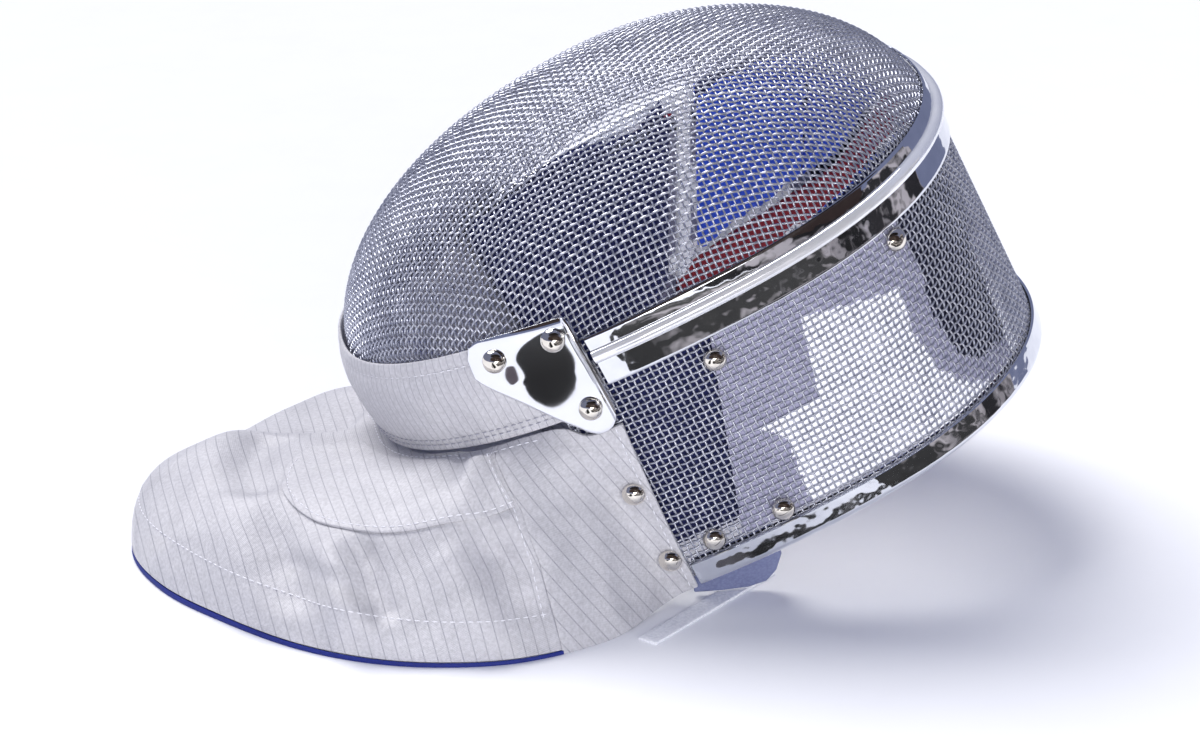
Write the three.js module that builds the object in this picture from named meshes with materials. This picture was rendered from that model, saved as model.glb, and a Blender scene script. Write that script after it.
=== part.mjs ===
// Fencing mask lying on its back rim, face up: a domed wire face and a wire skirt joined by a seam trim,
// corner plates and rivets, a cloth bib that stands on its hem, and the padded lining inside.
// Millimetres, +Z up. X runs from the bib to the crown, and the wearer's left side is towards -Y.
import * as THREE from 'three';
import { mergeVertices } from 'three/addons/utils/BufferGeometryUtils.js';

// Lying pose: the seam loop's centre stands over the floor and the mask leans back about Y.
const LOOP_HEIGHT = 125;
const LOOP_X = 22.5;
const RECLINE = THREE.MathUtils.degToRad(26.7);

// Seam loop (a rounded oval that widens towards the crown) and the dome over it.
const HALF_LENGTH = 125.7;
const HALF_WIDTH = 97.7;
const LOOP_POWER = 2.32;
const CROWN_WIDENING = 0.125;
const DOME_RISE = 73.2;
const DOME_POWER = 1.907;
const DOME_LEAN = -6;
const SKIRT_DEPTH = 107;

// Layers, measured outwards from the middle of the wire wall.
const WIRE_HALF = 1;
const CLOTH_IN = 1.5;
const CLOTH_OUT = 3.3;
const TRIM_IN = 1.4;
const TRIM_OUT = 2.4;
const PLATE_IN = 3.7;
const PLATE_OUT = 4.7;
const GAP = 0.3;

const FLOOR_AXIS = new THREE.Vector3(0, 0, 1);
const MASK_AXIS = new THREE.Vector3(-Math.sin(RECLINE), 0, Math.cos(RECLINE));

// Where the pieces run: local x along the mask, local z out of the face.
const PLATE_END_X = -41;
const SKIRT_FRONT_X = -62;
const RIM_FRONT_X = -46.4;
const TRIM_LOW = -13;
const TRIM_HIGH = 8;
const BEAD_RADIUS = 2.7;
const RIM_WIDTH = 10.5;
const COLLAR_LOW = -20;
const COLLAR_HIGH = 18;
const COLLAR_END_X = -46;
const COLLAR_PUFF = { from: -90, over: 14, rise: 1.6 };

// Rivet heads.
const RIVET_RADIUS = 4.6;
const RIVET_RISE = 3.6;

// Lining: panels slant with the wearer's head, so their ends move along x with z.
const PAD_SLANT = 0.51;
const BACKING_OUT = -1.5;
const BACKING_IN = -2.4;
const PAD_OUT = -2.8;
const PAD_IN = -9.5;

const paint = {
  wire_mesh: material(0x3b3e47, 0.45, 0.85),
  chromed_steel: material(0xc6cad2, 0.14, 1),
  nickel_rivet: material(0xd8d2c6, 0.2, 1),
  bib_cloth: material(0xa3a4b8, 0.7, 0.1),
  hem_blue: material(0x2a4fc0, 0.7, 0),
  pad_navy: material(0x1c2550, 0.85, 0),
  pad_blue: material(0x2c55b8, 0.85, 0),
  pad_white: material(0xe6e6ee, 0.85, 0),
  binding_red: material(0xb32a3a, 0.8, 0),
  strap_cloth: material(0x757c9a, 0.8, 0),
  hook_tape: material(0xeceef2, 0.75, 0),
};

// One point of the corner plate's outline per row: its lower and upper edge at that x.
const PLATE_OUTLINE = [
  { x: -82, low: 8, high: 15 },
  { x: -80.5, low: 5.5, high: 18.6 },
  { x: -77, low: 1, high: 20 },
  { x: -70, low: -8, high: 19.8 },
  { x: -63, low: -17.5, high: 19.4 },
  { x: -57, low: -24.5, high: 19 },
  { x: -53, low: -28.8, high: 18.7 },
  { x: -49, low: -29.5, high: 18.5 },
  { x: -46, low: -28.3, high: 18.3 },
  { x: -44, low: -26, high: 18 },
  { x: -41.6, low: -19.5, high: 15.5 },
];

const PLATE_FOLD = { from: -44.4, rise: 2 };

// Rivets of one side: where each sits on the wall, or round and down the bib, and the top of what it clamps.
const RIVETS = [
  { name: 'plate_front', x: -73, z: 12, seat: PLATE_OUT },
  { name: 'plate_upper', x: -50.2, z: 12, seat: PLATE_OUT },
  { name: 'plate_lower', x: -50.2, z: -18, seat: PLATE_OUT },
  { name: 'cloth_upper', cloth: [0.029, 0.37], seat: CLOTH_OUT - CLOTH_IN + GAP },
  { name: 'cloth_lower', cloth: [0.023, 0.8], seat: CLOTH_OUT - CLOTH_IN + 2 * GAP },
  { name: 'rim_front', x: -34, z: -90.5, seat: WIRE_HALF },
  { name: 'rim_middle', x: -5.5, z: -91, seat: WIRE_HALF },
  { name: 'seam_middle', x: -2, z: -22, seat: WIRE_HALF },
  { name: 'seam_rear', x: 79, z: -19, seat: WIRE_HALF },
];

// Bib sections of one side, from its rear edge to the middle of the front.
// top: local x and z where it leaves the collar; hem: where its lower edge stands and its height;
// out, fall: how far towards the hem and how far down the cloth runs first;
// rise, swell: how it comes down on the hem.
const BIB_SECTIONS = [
  { top: [-43.2, -29.6], hem: [4.5, 90.6, 8.4], out: 0.33, fall: 26, rise: 26, swell: -11.5 },
  { top: [-56.5, -29], hem: [-5.5, 87.8, 3.1], out: 0.33, fall: 24, rise: 24, swell: -9.5 },
  { top: [-64, -22.5], hem: [-35, 113, 0], out: 0.3, fall: 22, rise: 26, swell: -8 },
  { top: [-75, -20.9], hem: [-72, 126, 0], out: 0.36, fall: 17, rise: 26, swell: -6 },
  { top: [-89, -21.6], hem: [-102, 124, 0], out: 0.4, fall: 13, rise: 28, swell: -4 },
  { top: [-101, -22.6], hem: [-127, 115, 0], out: 0.42, fall: 9, rise: 32, swell: -1 },
  { top: [-111, -23.8], hem: [-151, 98, 0], out: 0.45, fall: 5, rise: 37, swell: 2 },
  { top: [-119, -25.2], hem: [-175, 70, 0], out: 0.5, fall: 2, rise: 43, swell: 4 },
  { top: [-124, -26.2], hem: [-196, 37, 0], out: 0.5, fall: 1, rise: 46, swell: 5 },
  { top: [-125.6, -26.6], hem: [-205, 0, 0], out: 0.5, fall: 1, rise: 46, swell: 5 },
];
const BIB_SEAM = { top: 0.215, hem: 0.145, gap: 0.0006 };
// The far half of the bib has slumped: the share of its height that is gone.
const SLUMP = 0.35;
// Flap over the near half of the throat: its top edge, and its lower edge along u.
const FLAP_TOP = 0.09;
const FLAP_EDGE = [
  { x: 0.213, low: 0.405 },
  { x: 0.264, low: 0.455 },
  { x: 0.3125, low: 0.495 },
  { x: 0.34, low: 0.51 },
  { x: 0.365, low: 0.505 },
  { x: 0.391, low: 0.475 },
  { x: 0.41, low: 0.43 },
  { x: 0.44, low: 0.34 },
  { x: 0.4625, low: 0.27 },
  { x: 0.48, low: 0.21 },
];
const BINDING_START = 0.972;
const EDGE_SHARE = 0.15;

// Lower and upper edge of the lining along x.
const PAD_EDGE = [
  { x: -70, low: -94, high: 12 },
  { x: -40, low: -94, high: 13 },
  { x: -14, low: -94, high: 8.5 },
  { x: 4, low: -67, high: 5.5 },
  { x: 17, low: -61.4, high: 1 },
  { x: 24, low: -60.3, high: -1 },
  { x: 45, low: -57.5, high: 7 },
  { x: 57, low: -56.3, high: 10.5 },
  { x: 81, low: -50.5, high: 14 },
  { x: 94, low: -45.8, high: 13 },
  { x: 106, low: -34, high: 10.5 },
  { x: 117, low: -21, high: 5 },
  { x: 124, low: -9, high: 4 },
  { x: 130, low: -7, high: 4 },
];
const CHEEK = { from: -66, to: 41.2 };
const STRIPE = { from: 41.6, to: 47.4 };
const TEMPLE = { from: 47.8, to: 101 };
// Backing between the pads and the wires: its two ends at its top and at its foot.
const BACKING = { top: -8, foot: -94.5, from: [2, -24], to: [112, 104] };
const CROWN_FROM = 101.6;
const BINDING_WIDTH = 16;

// Strap tab inside the rim's front end: its top runs along the wall, its foot over the floor.
const TAB_TOP = { from: -47, to: -12, z: -97.6, off: -2.8 };
const TAB_THICK = 1.6;
const TAB_FOOT = [
  { x: 0, along: 5, across: 82.5, height: 1.7 },
  { x: 0.35, along: 16, across: 83, height: 1.7 },
  { x: 0.7, along: 27, across: 82, height: 1.8 },
  { x: 0.88, along: 34, across: 82.5, height: 4 },
  { x: 0.96, along: 37.5, across: 84, height: 9 },
  { x: 1, along: 39, across: 86, height: 17 },
];

// Hook tape that lies under the tab: its two ends on the floor.
const TAPE = { front: [-22, 120], rear: [38, 65.9], width: 8.5, thick: 1.2 };

function material(color, roughness, metalness) {
  return new THREE.MeshStandardMaterial({ color, roughness, metalness });
}

// Mask-local point to its place in the lying pose.
function lie([x, y, z]) {
  const cos = Math.cos(RECLINE);
  const sin = Math.sin(RECLINE);
  return new THREE.Vector3(x * cos - z * sin + LOOP_X, y, x * sin + z * cos + LOOP_HEIGHT);
}

function power(value, exponent) {
  return Math.sign(value) * Math.abs(value) ** exponent;
}

// Angle on the seam loop of a local x, on the left (-1) or right (+1) side.
function angleAt(x, side) {
  return side * Math.acos(power(THREE.MathUtils.clamp(x / HALF_LENGTH, -1, 1), LOOP_POWER / 2));
}

// The wire wall's middle surface: upright below the seam, and the dome at climb angle q above it.
function wallPoint(angle, z, q = 0) {
  const x = HALF_LENGTH * power(Math.cos(angle), 2 / LOOP_POWER);
  const widened = 1 + (CROWN_WIDENING * x) / HALF_LENGTH;
  const y = HALF_WIDTH * power(Math.sin(angle), 2 / LOOP_POWER) * widened;
  const shrink = Math.max(0, Math.cos(q)) ** (2 / DOME_POWER);
  const height = Math.sin(q) ** (2 / DOME_POWER);
  return new THREE.Vector3(shrink * x + DOME_LEAN * height, shrink * y, z + DOME_RISE * height);
}

function climbAt(z) {
  return z <= 0 ? 0 : Math.asin((z / DOME_RISE) ** (DOME_POWER / 2));
}

function wallNormal(angle, q) {
  const step = 0.004;
  if (q > Math.PI / 2 - step) return new THREE.Vector3(0, 0, 1);
  const along = wallPoint(angle + step, 0, q).sub(wallPoint(angle - step, 0, q));
  const up = q > 0 ? wallPoint(angle, 0, q + step).sub(wallPoint(angle, 0, q)) : new THREE.Vector3(0, 0, 1);
  return along.cross(up).normalize();
}

// Point off the wire wall: angle round the loop, local z, distance outwards.
function onWall(angle, z, off) {
  const q = climbAt(z);
  const point = wallPoint(angle, q > 0 ? 0 : z, q).addScaledVector(wallNormal(angle, q), off);
  return lie(point.toArray());
}

function onDome(angle, q, off) {
  return lie(wallPoint(angle, 0, q).addScaledVector(wallNormal(angle, q), off).toArray());
}

// Angles between two places on the loop, evenly spaced along it.
function stations(from, to, count) {
  const fine = 400;
  const lengths = [0];
  for (let i = 1; i <= fine; i += 1) {
    const a = wallPoint(from + ((to - from) * (i - 1)) / fine, 0);
    const b = wallPoint(from + ((to - from) * i) / fine, 0);
    lengths.push(lengths[i - 1] + a.distanceTo(b));
  }
  const angles = [];
  for (let k = 0; k <= count; k += 1) {
    const wanted = (lengths[fine] * k) / count;
    const i = Math.max(1, lengths.findIndex((length) => length >= wanted - 1e-9));
    const share = (wanted - lengths[i - 1]) / (lengths[i] - lengths[i - 1]);
    angles.push(from + ((to - from) * (i - 1 + share)) / fine);
  }
  return angles;
}

function spread(from, to, count) {
  return Array.from({ length: count + 1 }, (_, i) => from + ((to - from) * i) / count);
}

// Value of a column between the rows of a table kept in order of x.
function column(table, x, key) {
  const last = table.length - 1;
  const next = THREE.MathUtils.clamp(table.findIndex((row) => row.x >= x), 1, last);
  const after = x > table[last].x ? last : next;
  const a = table[after - 1];
  const b = table[after];
  const share = THREE.MathUtils.clamp((x - a.x) / (b.x - a.x), 0, 1);
  return a[key] + (b[key] - a[key]) * share;
}

// Closed solid from a ring of [v, w] pairs carried along the stations us by point(u, v, w).
// caps closes the two ends: as a sheet, as a drawn shape, or not at all where the stations close a loop.
function carry(point, ringAt, us, caps = sheetCap) {
  const rings = us.map((u) => ringAt(u).map(([v, w]) => point(u, v, w)));
  const size = rings[0].length;
  const positions = rings.flat().flatMap((p) => p.toArray());
  const index = [];
  const spans = caps === noCap ? us.length : us.length - 1;
  for (let i = 0; i < spans; i += 1) {
    const next = (i + 1) % us.length;
    for (let j = 0; j < size; j += 1) {
      const k = (j + 1) % size;
      const [a, b, c, d] = [i * size + j, i * size + k, next * size + k, next * size + j];
      index.push(a, b, c, a, c, d);
    }
  }
  const end = (us.length - 1) * size;
  for (const [a, b, c] of caps(ringAt(us[0]))) index.push(a, c, b);
  for (const [a, b, c] of caps(ringAt(us[us.length - 1]))) index.push(end + a, end + b, end + c);
  return tidy(positions, index);
}

function noCap() {
  return [];
}

// End of a sheet: a ladder between its outer and inner face.
function sheetCap(ring) {
  const last = ring.length - 1;
  const rungs = Array.from({ length: ring.length / 2 - 1 }, (_, j) => j);
  return rungs.flatMap((j) => [[j, j + 1, last - 1 - j], [j, last - 1 - j, last - j]]);
}

// End of a drawn profile, its triangles wound as the ring runs.
function shapeCap(ring) {
  const outline = ring.map(([v, w]) => new THREE.Vector2(v, w));
  const turn = Math.sign(THREE.ShapeUtils.area(outline));
  return THREE.ShapeUtils.triangulateShape(outline, []).map(([a, b, c]) => {
    const same = Math.sign(THREE.ShapeUtils.area([outline[a], outline[b], outline[c]])) === turn;
    return same ? [a, b, c] : [a, c, b];
  });
}

function tidy(positions, index) {
  const raw = new THREE.BufferGeometry();
  raw.setAttribute('position', new THREE.Float32BufferAttribute(positions, 3));
  raw.setIndex(index);
  const merged = mergeVertices(raw, 1e-3);
  const kept = [];
  const ids = merged.index.array;
  for (let i = 0; i < ids.length; i += 3) {
    const [a, b, c] = [ids[i], ids[i + 1], ids[i + 2]];
    if (a !== b && b !== c && c !== a) kept.push(a, b, c);
  }
  merged.setIndex(volume(merged, kept) < 0 ? kept.reverse() : kept);
  return merged;
}

function volume(geometry, ids) {
  const place = geometry.getAttribute('position');
  const corner = (i) => new THREE.Vector3().fromBufferAttribute(place, i);
  let sum = 0;
  for (let i = 0; i < ids.length; i += 3) {
    sum += corner(ids[i]).dot(corner(ids[i + 1]).cross(corner(ids[i + 2])));
  }
  return sum / 6;
}

// Ring of a sheet: along its outer face at the given vs, and back along its inner face.
function sheetRing(vs, inner, outer) {
  const out = vs.map((v) => [v, outer]);
  const back = vs.map((v) => [v, inner]).reverse();
  return [...out, ...back];
}

const mask = new THREE.Group();
mask.name = 'fencing_mask';

function add(name, slot, geometry) {
  const mesh = new THREE.Mesh(geometry, paint[slot]);
  mesh.name = name;
  mask.add(mesh);
}

// Wire face: one domed wall that closes over the top.
function wireFace() {
  const angles = stations(-Math.PI, Math.PI, 44).slice(0, -1);
  const climbs = spread(0, Math.PI / 2, 10);
  return carry(onDome, () => sheetRing(climbs, -WIRE_HALF, WIRE_HALF), angles, noCap);
}

// Wire skirt from one bib edge round the crown to the other.
function wireSkirt() {
  const angles = stations(angleAt(SKIRT_FRONT_X, -1), angleAt(SKIRT_FRONT_X, 1), 40);
  const heights = spread(-GAP, 1.6 - SKIRT_DEPTH, 3);
  return carry(onWall, () => sheetRing(heights, -WIRE_HALF, WIRE_HALF), angles);
}

// Metal strip with a raised bead that covers the seam of face and skirt.
function seamTrim() {
  const bead = spread(0, Math.PI, 6).map((turn) => [
    BEAD_RADIUS * Math.cos(turn),
    TRIM_OUT + BEAD_RADIUS * Math.sin(turn),
  ]);
  const ring = [
    [TRIM_LOW, TRIM_IN],
    [0, TRIM_IN],
    [TRIM_HIGH / 2, TRIM_IN],
    [TRIM_HIGH, TRIM_IN],
    [TRIM_HIGH, TRIM_OUT],
    [TRIM_HIGH / 2, TRIM_OUT],
    ...bead,
    [TRIM_LOW, TRIM_OUT],
  ];
  const start = PLATE_END_X + GAP;
  return carry(onWall, () => ring, stations(angleAt(start, -1), angleAt(start, 1), 38), shapeCap);
}

// Folded channel over the skirt's free edge.
function backRim() {
  const edge = -SKIRT_DEPTH;
  const lip = edge + RIM_WIDTH;
  const ring = [
    [lip, TRIM_OUT],
    [edge + 0.9, TRIM_OUT],
    [edge, TRIM_OUT - 0.9],
    [edge, 0.9 - TRIM_OUT],
    [edge + 0.9, -TRIM_OUT],
    [lip, -TRIM_OUT],
    [lip, -TRIM_IN],
    [edge + 1.1, -TRIM_IN],
    [edge + 1.1, TRIM_IN],
    [lip, TRIM_IN],
  ];
  const angles = stations(angleAt(RIM_FRONT_X, -1), angleAt(RIM_FRONT_X, 1), 36);
  return carry(onWall, () => ring, angles, shapeCap);
}

// Corner plate over the end of the seam trim, with its rear edge folded thick.
function cornerPlate(side) {
  const ringAt = (x) => {
    const fold = x > PLATE_FOLD.from ? PLATE_FOLD.rise : 0;
    const heights = spread(column(PLATE_OUTLINE, x, 'low'), column(PLATE_OUTLINE, x, 'high'), 5);
    return sheetRing(heights, PLATE_IN, PLATE_OUT + fold);
  };
  const xs = PLATE_OUTLINE.map((row) => row.x);
  xs.splice(-2, 0, PLATE_FOLD.from);
  return carry((x, z, off) => onWall(angleAt(x, side), z, off), ringAt, xs);
}

// Domed rivet head standing on its layer.
function rivet({ x, z, cloth, seat }, side) {
  const arc = spread(0.35, Math.PI / 2, 3).map(
    (turn) => new THREE.Vector2(RIVET_RADIUS * Math.cos(turn), RIVET_RISE * Math.sin(turn)),
  );
  arc[arc.length - 1].x = 0;
  const foot = new THREE.Vector2(RIVET_RADIUS * 0.94, 0);
  const lathe = new THREE.LatheGeometry([new THREE.Vector2(0, 0), foot, ...arc], 10);
  lathe.deleteAttribute('normal');
  lathe.deleteAttribute('uv');
  const at = cloth
    ? (off) => onBib(side < 0 ? cloth[0] : 1 - cloth[0], cloth[1], off)
    : (off) => onWall(angleAt(x, side), z, off);
  const base = at(seat + GAP);
  const axis = at(seat + GAP + 1).sub(base).normalize();
  const turn = new THREE.Quaternion().setFromUnitVectors(new THREE.Vector3(0, 1, 0), axis);
  lathe.applyMatrix4(new THREE.Matrix4().compose(base, turn, new THREE.Vector3(1, 1, 1)));
  return tidy([...lathe.getAttribute('position').array], [...lathe.index.array]);
}

// Padded cloth band that wraps the chin over the face's edge.
function collar() {
  const from = angleAt(COLLAR_END_X, -1);
  const angles = stations(from, -2 * Math.PI - from, 28);
  const heights = spread(COLLAR_LOW, COLLAR_HIGH, 5);
  const ringAt = (angle) => {
    const clear = THREE.MathUtils.clamp((COLLAR_PUFF.from - wallPoint(angle, 0).x) / COLLAR_PUFF.over, 0, 1);
    const share = (z) => (z - COLLAR_LOW) / (COLLAR_HIGH - COLLAR_LOW);
    const puff = (z) => COLLAR_PUFF.rise * clear * Math.sin(Math.PI * share(z));
    const out = heights.map((z) => [z, CLOTH_OUT + puff(z)]);
    const back = heights.map((z) => [z, CLOTH_IN]).reverse();
    return [...out, ...back];
  };
  return carry(onWall, ringAt, angles);
}

// Curves that carry the bib's four controls from the left rear edge over the front to the right one.
const bibCurves = (() => {
  const left = BIB_SECTIONS.map((row) => bibControls(row, -1));
  const right = BIB_SECTIONS.map((row) => bibControls(row, 1)).reverse().slice(1);
  const all = [...left, ...right];
  const through = (k) => all.map((controls) => controls[k]);
  return [0, 1, 2, 3].map((k) => new THREE.CatmullRomCurve3(through(k), false, 'centripetal'));
})();

function bibControls({ top, hem, out, fall, rise, swell }, side) {
  const start = onWall(angleAt(top[0], side), top[1], CLOTH_IN);
  const end = new THREE.Vector3(hem[0] + LOOP_X, side * hem[1], hem[2]);
  const outward = new THREE.Vector3(end.x - start.x, end.y - start.y, 0);
  const first = start.clone().addScaledVector(outward, out);
  first.z -= fall;
  const second = end.clone().addScaledVector(outward.normalize(), swell);
  second.z += rise;
  return [start, first, second, end];
}

function bibSurface(u, v) {
  const [a, b, c, d] = bibCurves.map((curve) => curve.getPoint(u));
  const w = 1 - v;
  const point = a
    .multiplyScalar(w * w * w)
    .addScaledVector(b, 3 * w * w * v)
    .addScaledVector(c, 3 * w * v * v)
    .addScaledVector(d, v * v * v);
  const { smoothstep } = THREE.MathUtils;
  const far = smoothstep(u, 0.5, 0.6) - smoothstep(u, 0.84, 0.93);
  point.z *= 1 - SLUMP * far * smoothstep(v, 0, 0.15);
  return point;
}

// Point off the bib's inner face. Its top edge stands off square to the collar, its hem level with the floor.
function onBib(u, v, off) {
  const step = 0.004;
  const around = bibSurface(Math.min(1, u + step), v).sub(bibSurface(Math.max(0, u - step), v));
  const down = bibSurface(u, Math.min(1, v + step)).sub(bibSurface(u, Math.max(0, v - step)));
  const normal = around.cross(down).normalize();
  const edge = Math.max(1 - v / EDGE_SHARE, (v - 1 + EDGE_SHARE) / EDGE_SHARE, 0);
  const square = normal.clone().projectOnPlane(v < 0.5 ? MASK_AXIS : FLOOR_AXIS).normalize();
  const point = bibSurface(u, v).addScaledVector(normal.lerp(square, edge).normalize(), off);
  point.z = Math.max(0, point.z);
  return point;
}

// Bib panel between two edges that run down the cloth.
function bibPanel(from, to, count) {
  const vs = spread(0, BINDING_START - 0.004, 8);
  const point = (share, v, off) => onBib(THREE.MathUtils.lerp(from(v), to(v), share), v, off);
  return carry(point, () => sheetRing(vs, 0, CLOTH_OUT - CLOTH_IN), spread(0, 1, count));
}

function seamAt(v) {
  return THREE.MathUtils.lerp(BIB_SEAM.top, BIB_SEAM.hem, v);
}

// Second layer over the near half of the throat with a rounded edge.
function throatFlap() {
  const base = CLOTH_OUT - CLOTH_IN + 2 * GAP;
  const ringAt = (u) => {
    const heights = spread(FLAP_TOP, column(FLAP_EDGE, u, 'low'), 5);
    return sheetRing(heights, base, base + 1.4);
  };
  return carry(onBib, ringAt, spread(FLAP_EDGE[0].x, FLAP_EDGE.at(-1).x, 16));
}

function hemBinding() {
  const vs = [BINDING_START, 1];
  return carry(onBib, () => sheetRing(vs, 0, CLOTH_OUT - CLOTH_IN), spread(0, 1, 48));
}

// The lining's panels lean back along x as they go down, less and less round the crown.
function lean(x, z) {
  const crown = x > CROWN_FROM ? (angleAt(x, 1) / angleAt(CROWN_FROM, 1)) ** 2 : 1;
  return x + PAD_SLANT * z * THREE.MathUtils.clamp((x + 44) / 60, 0, crown);
}

function edgeLow(x) {
  return column(PAD_EDGE, lean(x, column(PAD_EDGE, lean(x, -70), 'low')), 'low');
}

function onLining(side) {
  return (x, z, off) => onWall(angleAt(lean(x, z), side), z, off);
}

function liningPanel(side, { from, to }, count) {
  const ringAt = (x) => sheetRing(spread(edgeLow(x), column(PAD_EDGE, x, 'high'), 5), PAD_IN, PAD_OUT);
  return carry(onLining(side), ringAt, spread(from, to, count));
}

function liningBacking(side) {
  const { lerp } = THREE.MathUtils;
  const point = (share, down, off) => {
    const ends = [BACKING.from, BACKING.to].map(([top, foot]) => lerp(top, foot, down));
    return onWall(angleAt(lerp(...ends, share), side), lerp(BACKING.top, BACKING.foot, down), off);
  };
  return carry(point, () => sheetRing(spread(0, 1, 5), BACKING_IN, BACKING_OUT), spread(0, 1, 13));
}

// Local x at an angle on the loop's crown half.
function loopX(angle) {
  return HALF_LENGTH * Math.cos(angle) ** (2 / LOOP_POWER);
}

// Broad binding below the edge of the temple panel and on to the middle of the crown.
function liningBinding(side) {
  const ringAt = (x) => {
    const top = edgeLow(x) - 3 * GAP;
    return sheetRing([top - BINDING_WIDTH, top], PAD_IN + 1, PAD_OUT - 1);
  };
  const crown = [...stations(angleAt(CROWN_FROM, 1), 0, 6).slice(0, -1), 0.004].map(loopX);
  return carry(onLining(side), ringAt, [...spread(STRIPE.from, TEMPLE.to, 10), ...crown]);
}

// Lining round the crown between the two temple panels.
function crownPad() {
  const end = angleAt(CROWN_FROM, 1);
  const point = (angle, z, off) => onLining(Math.sign(angle) || 1)(loopX(angle), z, off);
  const ringAt = (angle) => {
    const x = loopX(angle);
    return sheetRing(spread(edgeLow(x), column(PAD_EDGE, x, 'high'), 4), PAD_IN, PAD_OUT);
  };
  return carry(point, ringAt, stations(-end, end, 12));
}

function strapTab(side) {
  const point = (share, v, off) => {
    const x = THREE.MathUtils.lerp(TAB_TOP.from, TAB_TOP.to, share);
    const top = onWall(angleAt(x, side), TAB_TOP.z, TAB_TOP.off);
    const along = column(TAB_FOOT, share, 'along') + LOOP_X;
    const across = side * column(TAB_FOOT, share, 'across');
    const foot = new THREE.Vector3(along, across, column(TAB_FOOT, share, 'height'));
    const placed = top.lerp(foot, v);
    placed.y += side * off;
    return placed;
  };
  const shares = [0, 0.17, 0.35, 0.52, 0.7, 0.8, 0.88, 0.96, 1];
  return carry(point, () => sheetRing(spread(0, 1, 3), -TAB_THICK, 0), shares);
}

function hookTape(side) {
  const front = new THREE.Vector2(TAPE.front[0] + LOOP_X, side * TAPE.front[1]);
  const rear = new THREE.Vector2(TAPE.rear[0] + LOOP_X, side * TAPE.rear[1]);
  const across = rear.clone().sub(front).normalize().rotateAround(new THREE.Vector2(), Math.PI / 2);
  const point = (share, v, height) => {
    const spot = front.clone().lerp(rear, share).addScaledVector(across, v * TAPE.width);
    return new THREE.Vector3(spot.x, spot.y, height);
  };
  return carry(point, () => sheetRing([-0.5, 0.5], 0, TAPE.thick), [0, 1]);
}

add('face_mesh', 'wire_mesh', wireFace());
add('side_mesh', 'wire_mesh', wireSkirt());
add('seam_trim', 'chromed_steel', seamTrim());
add('back_rim', 'chromed_steel', backRim());
add('collar', 'bib_cloth', collar());
const nearSeam = (v) => seamAt(v) + BIB_SEAM.gap;
add('bib_front', 'bib_cloth', bibPanel(nearSeam, (v) => 1 - nearSeam(v), 28));
add('throat_flap', 'bib_cloth', throatFlap());
add('hem_binding', 'hem_blue', hemBinding());
add('crown_pad', 'pad_blue', crownPad());

for (const [word, side] of [['left', -1], ['right', 1]]) {
  const edges = [() => 0, seamAt];
  if (side > 0) edges.splice(0, 2, (v) => 1 - seamAt(v), () => 1);
  add(`bib_side_${word}`, 'bib_cloth', bibPanel(edges[0], edges[1], 8));
  add(`corner_plate_${word}`, 'chromed_steel', cornerPlate(side));
  add(`cheek_pad_${word}`, 'pad_navy', liningPanel(side, CHEEK, 11));
  add(`pad_stripe_${word}`, 'pad_white', liningPanel(side, STRIPE, 2));
  add(`temple_pad_${word}`, 'pad_blue', liningPanel(side, TEMPLE, 7));
  add(`pad_backing_${word}`, 'pad_white', liningBacking(side));
  add(`pad_binding_${word}`, 'binding_red', liningBinding(side));
  add(`strap_tab_${word}`, 'strap_cloth', strapTab(side));
  add(`hook_tape_${word}`, 'hook_tape', hookTape(side));
  for (const row of RIVETS) add(`rivet_${row.name}_${word}`, 'nickel_rivet', rivet(row, side));
}

export default mask;
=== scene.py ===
import math

import bpy
import numpy as np
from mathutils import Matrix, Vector


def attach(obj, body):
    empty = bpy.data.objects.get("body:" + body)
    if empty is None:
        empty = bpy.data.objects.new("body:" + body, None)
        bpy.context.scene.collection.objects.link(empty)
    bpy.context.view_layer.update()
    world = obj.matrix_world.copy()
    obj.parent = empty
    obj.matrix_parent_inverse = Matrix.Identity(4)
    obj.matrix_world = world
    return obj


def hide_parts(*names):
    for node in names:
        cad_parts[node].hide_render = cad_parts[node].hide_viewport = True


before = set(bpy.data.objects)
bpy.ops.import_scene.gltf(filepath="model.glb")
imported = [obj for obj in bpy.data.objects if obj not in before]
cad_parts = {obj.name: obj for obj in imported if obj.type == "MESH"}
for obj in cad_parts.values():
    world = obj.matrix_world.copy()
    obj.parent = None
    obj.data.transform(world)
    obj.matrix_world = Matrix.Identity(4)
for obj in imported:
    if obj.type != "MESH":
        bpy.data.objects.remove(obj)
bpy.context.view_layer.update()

scene = bpy.context.scene
MM = 0.001
# Step of the angles and shares over which slopes are taken.
STEP = 0.004
SIDES = (("left", -1), ("right", 1))

# Sizes of the mask in millimetres, as the solids have them.
LOOP_HEIGHT = 125
LOOP_X = 22.5
RECLINE = math.radians(26.7)
HALF_LENGTH = 125.7
HALF_WIDTH = 97.7
LOOP_POWER = 2.32
CROWN_WIDENING = 0.125
DOME_RISE = 73.2
DOME_POWER = 1.907
DOME_LEAN = -6
SKIRT_DEPTH = 107

CLOTH_IN = 1.5
CLOTH_OUT = 3.3
CLOTH_THICK = CLOTH_OUT - CLOTH_IN
TRIM_IN = 1.4
TRIM_OUT = 2.4
PLATE_OUT = 4.7
GAP = 0.3

SKIRT_FRONT_X = -62
RIM_FRONT_X = -46.4
RIM_WIDTH = 10.5
TRIM_START_X = -40.7
TRIM_LOW = -13
TRIM_HIGH = 8
BEAD_RADIUS = 2.7
COLLAR_LOW = -20
COLLAR_HIGH = 18
COLLAR_END_X = -46
COLLAR_PUFF = {"from": -90, "over": 14, "rise": 1.6}
# On the far side the collar's foot is longer, so that it closes on the slumped bib.
COLLAR_DROP = {"most": 4, "over": 40}
RIVET_RADIUS = 4.6
RIVET_RISE = 3.6
RIVET_SIDES = 24

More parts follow.
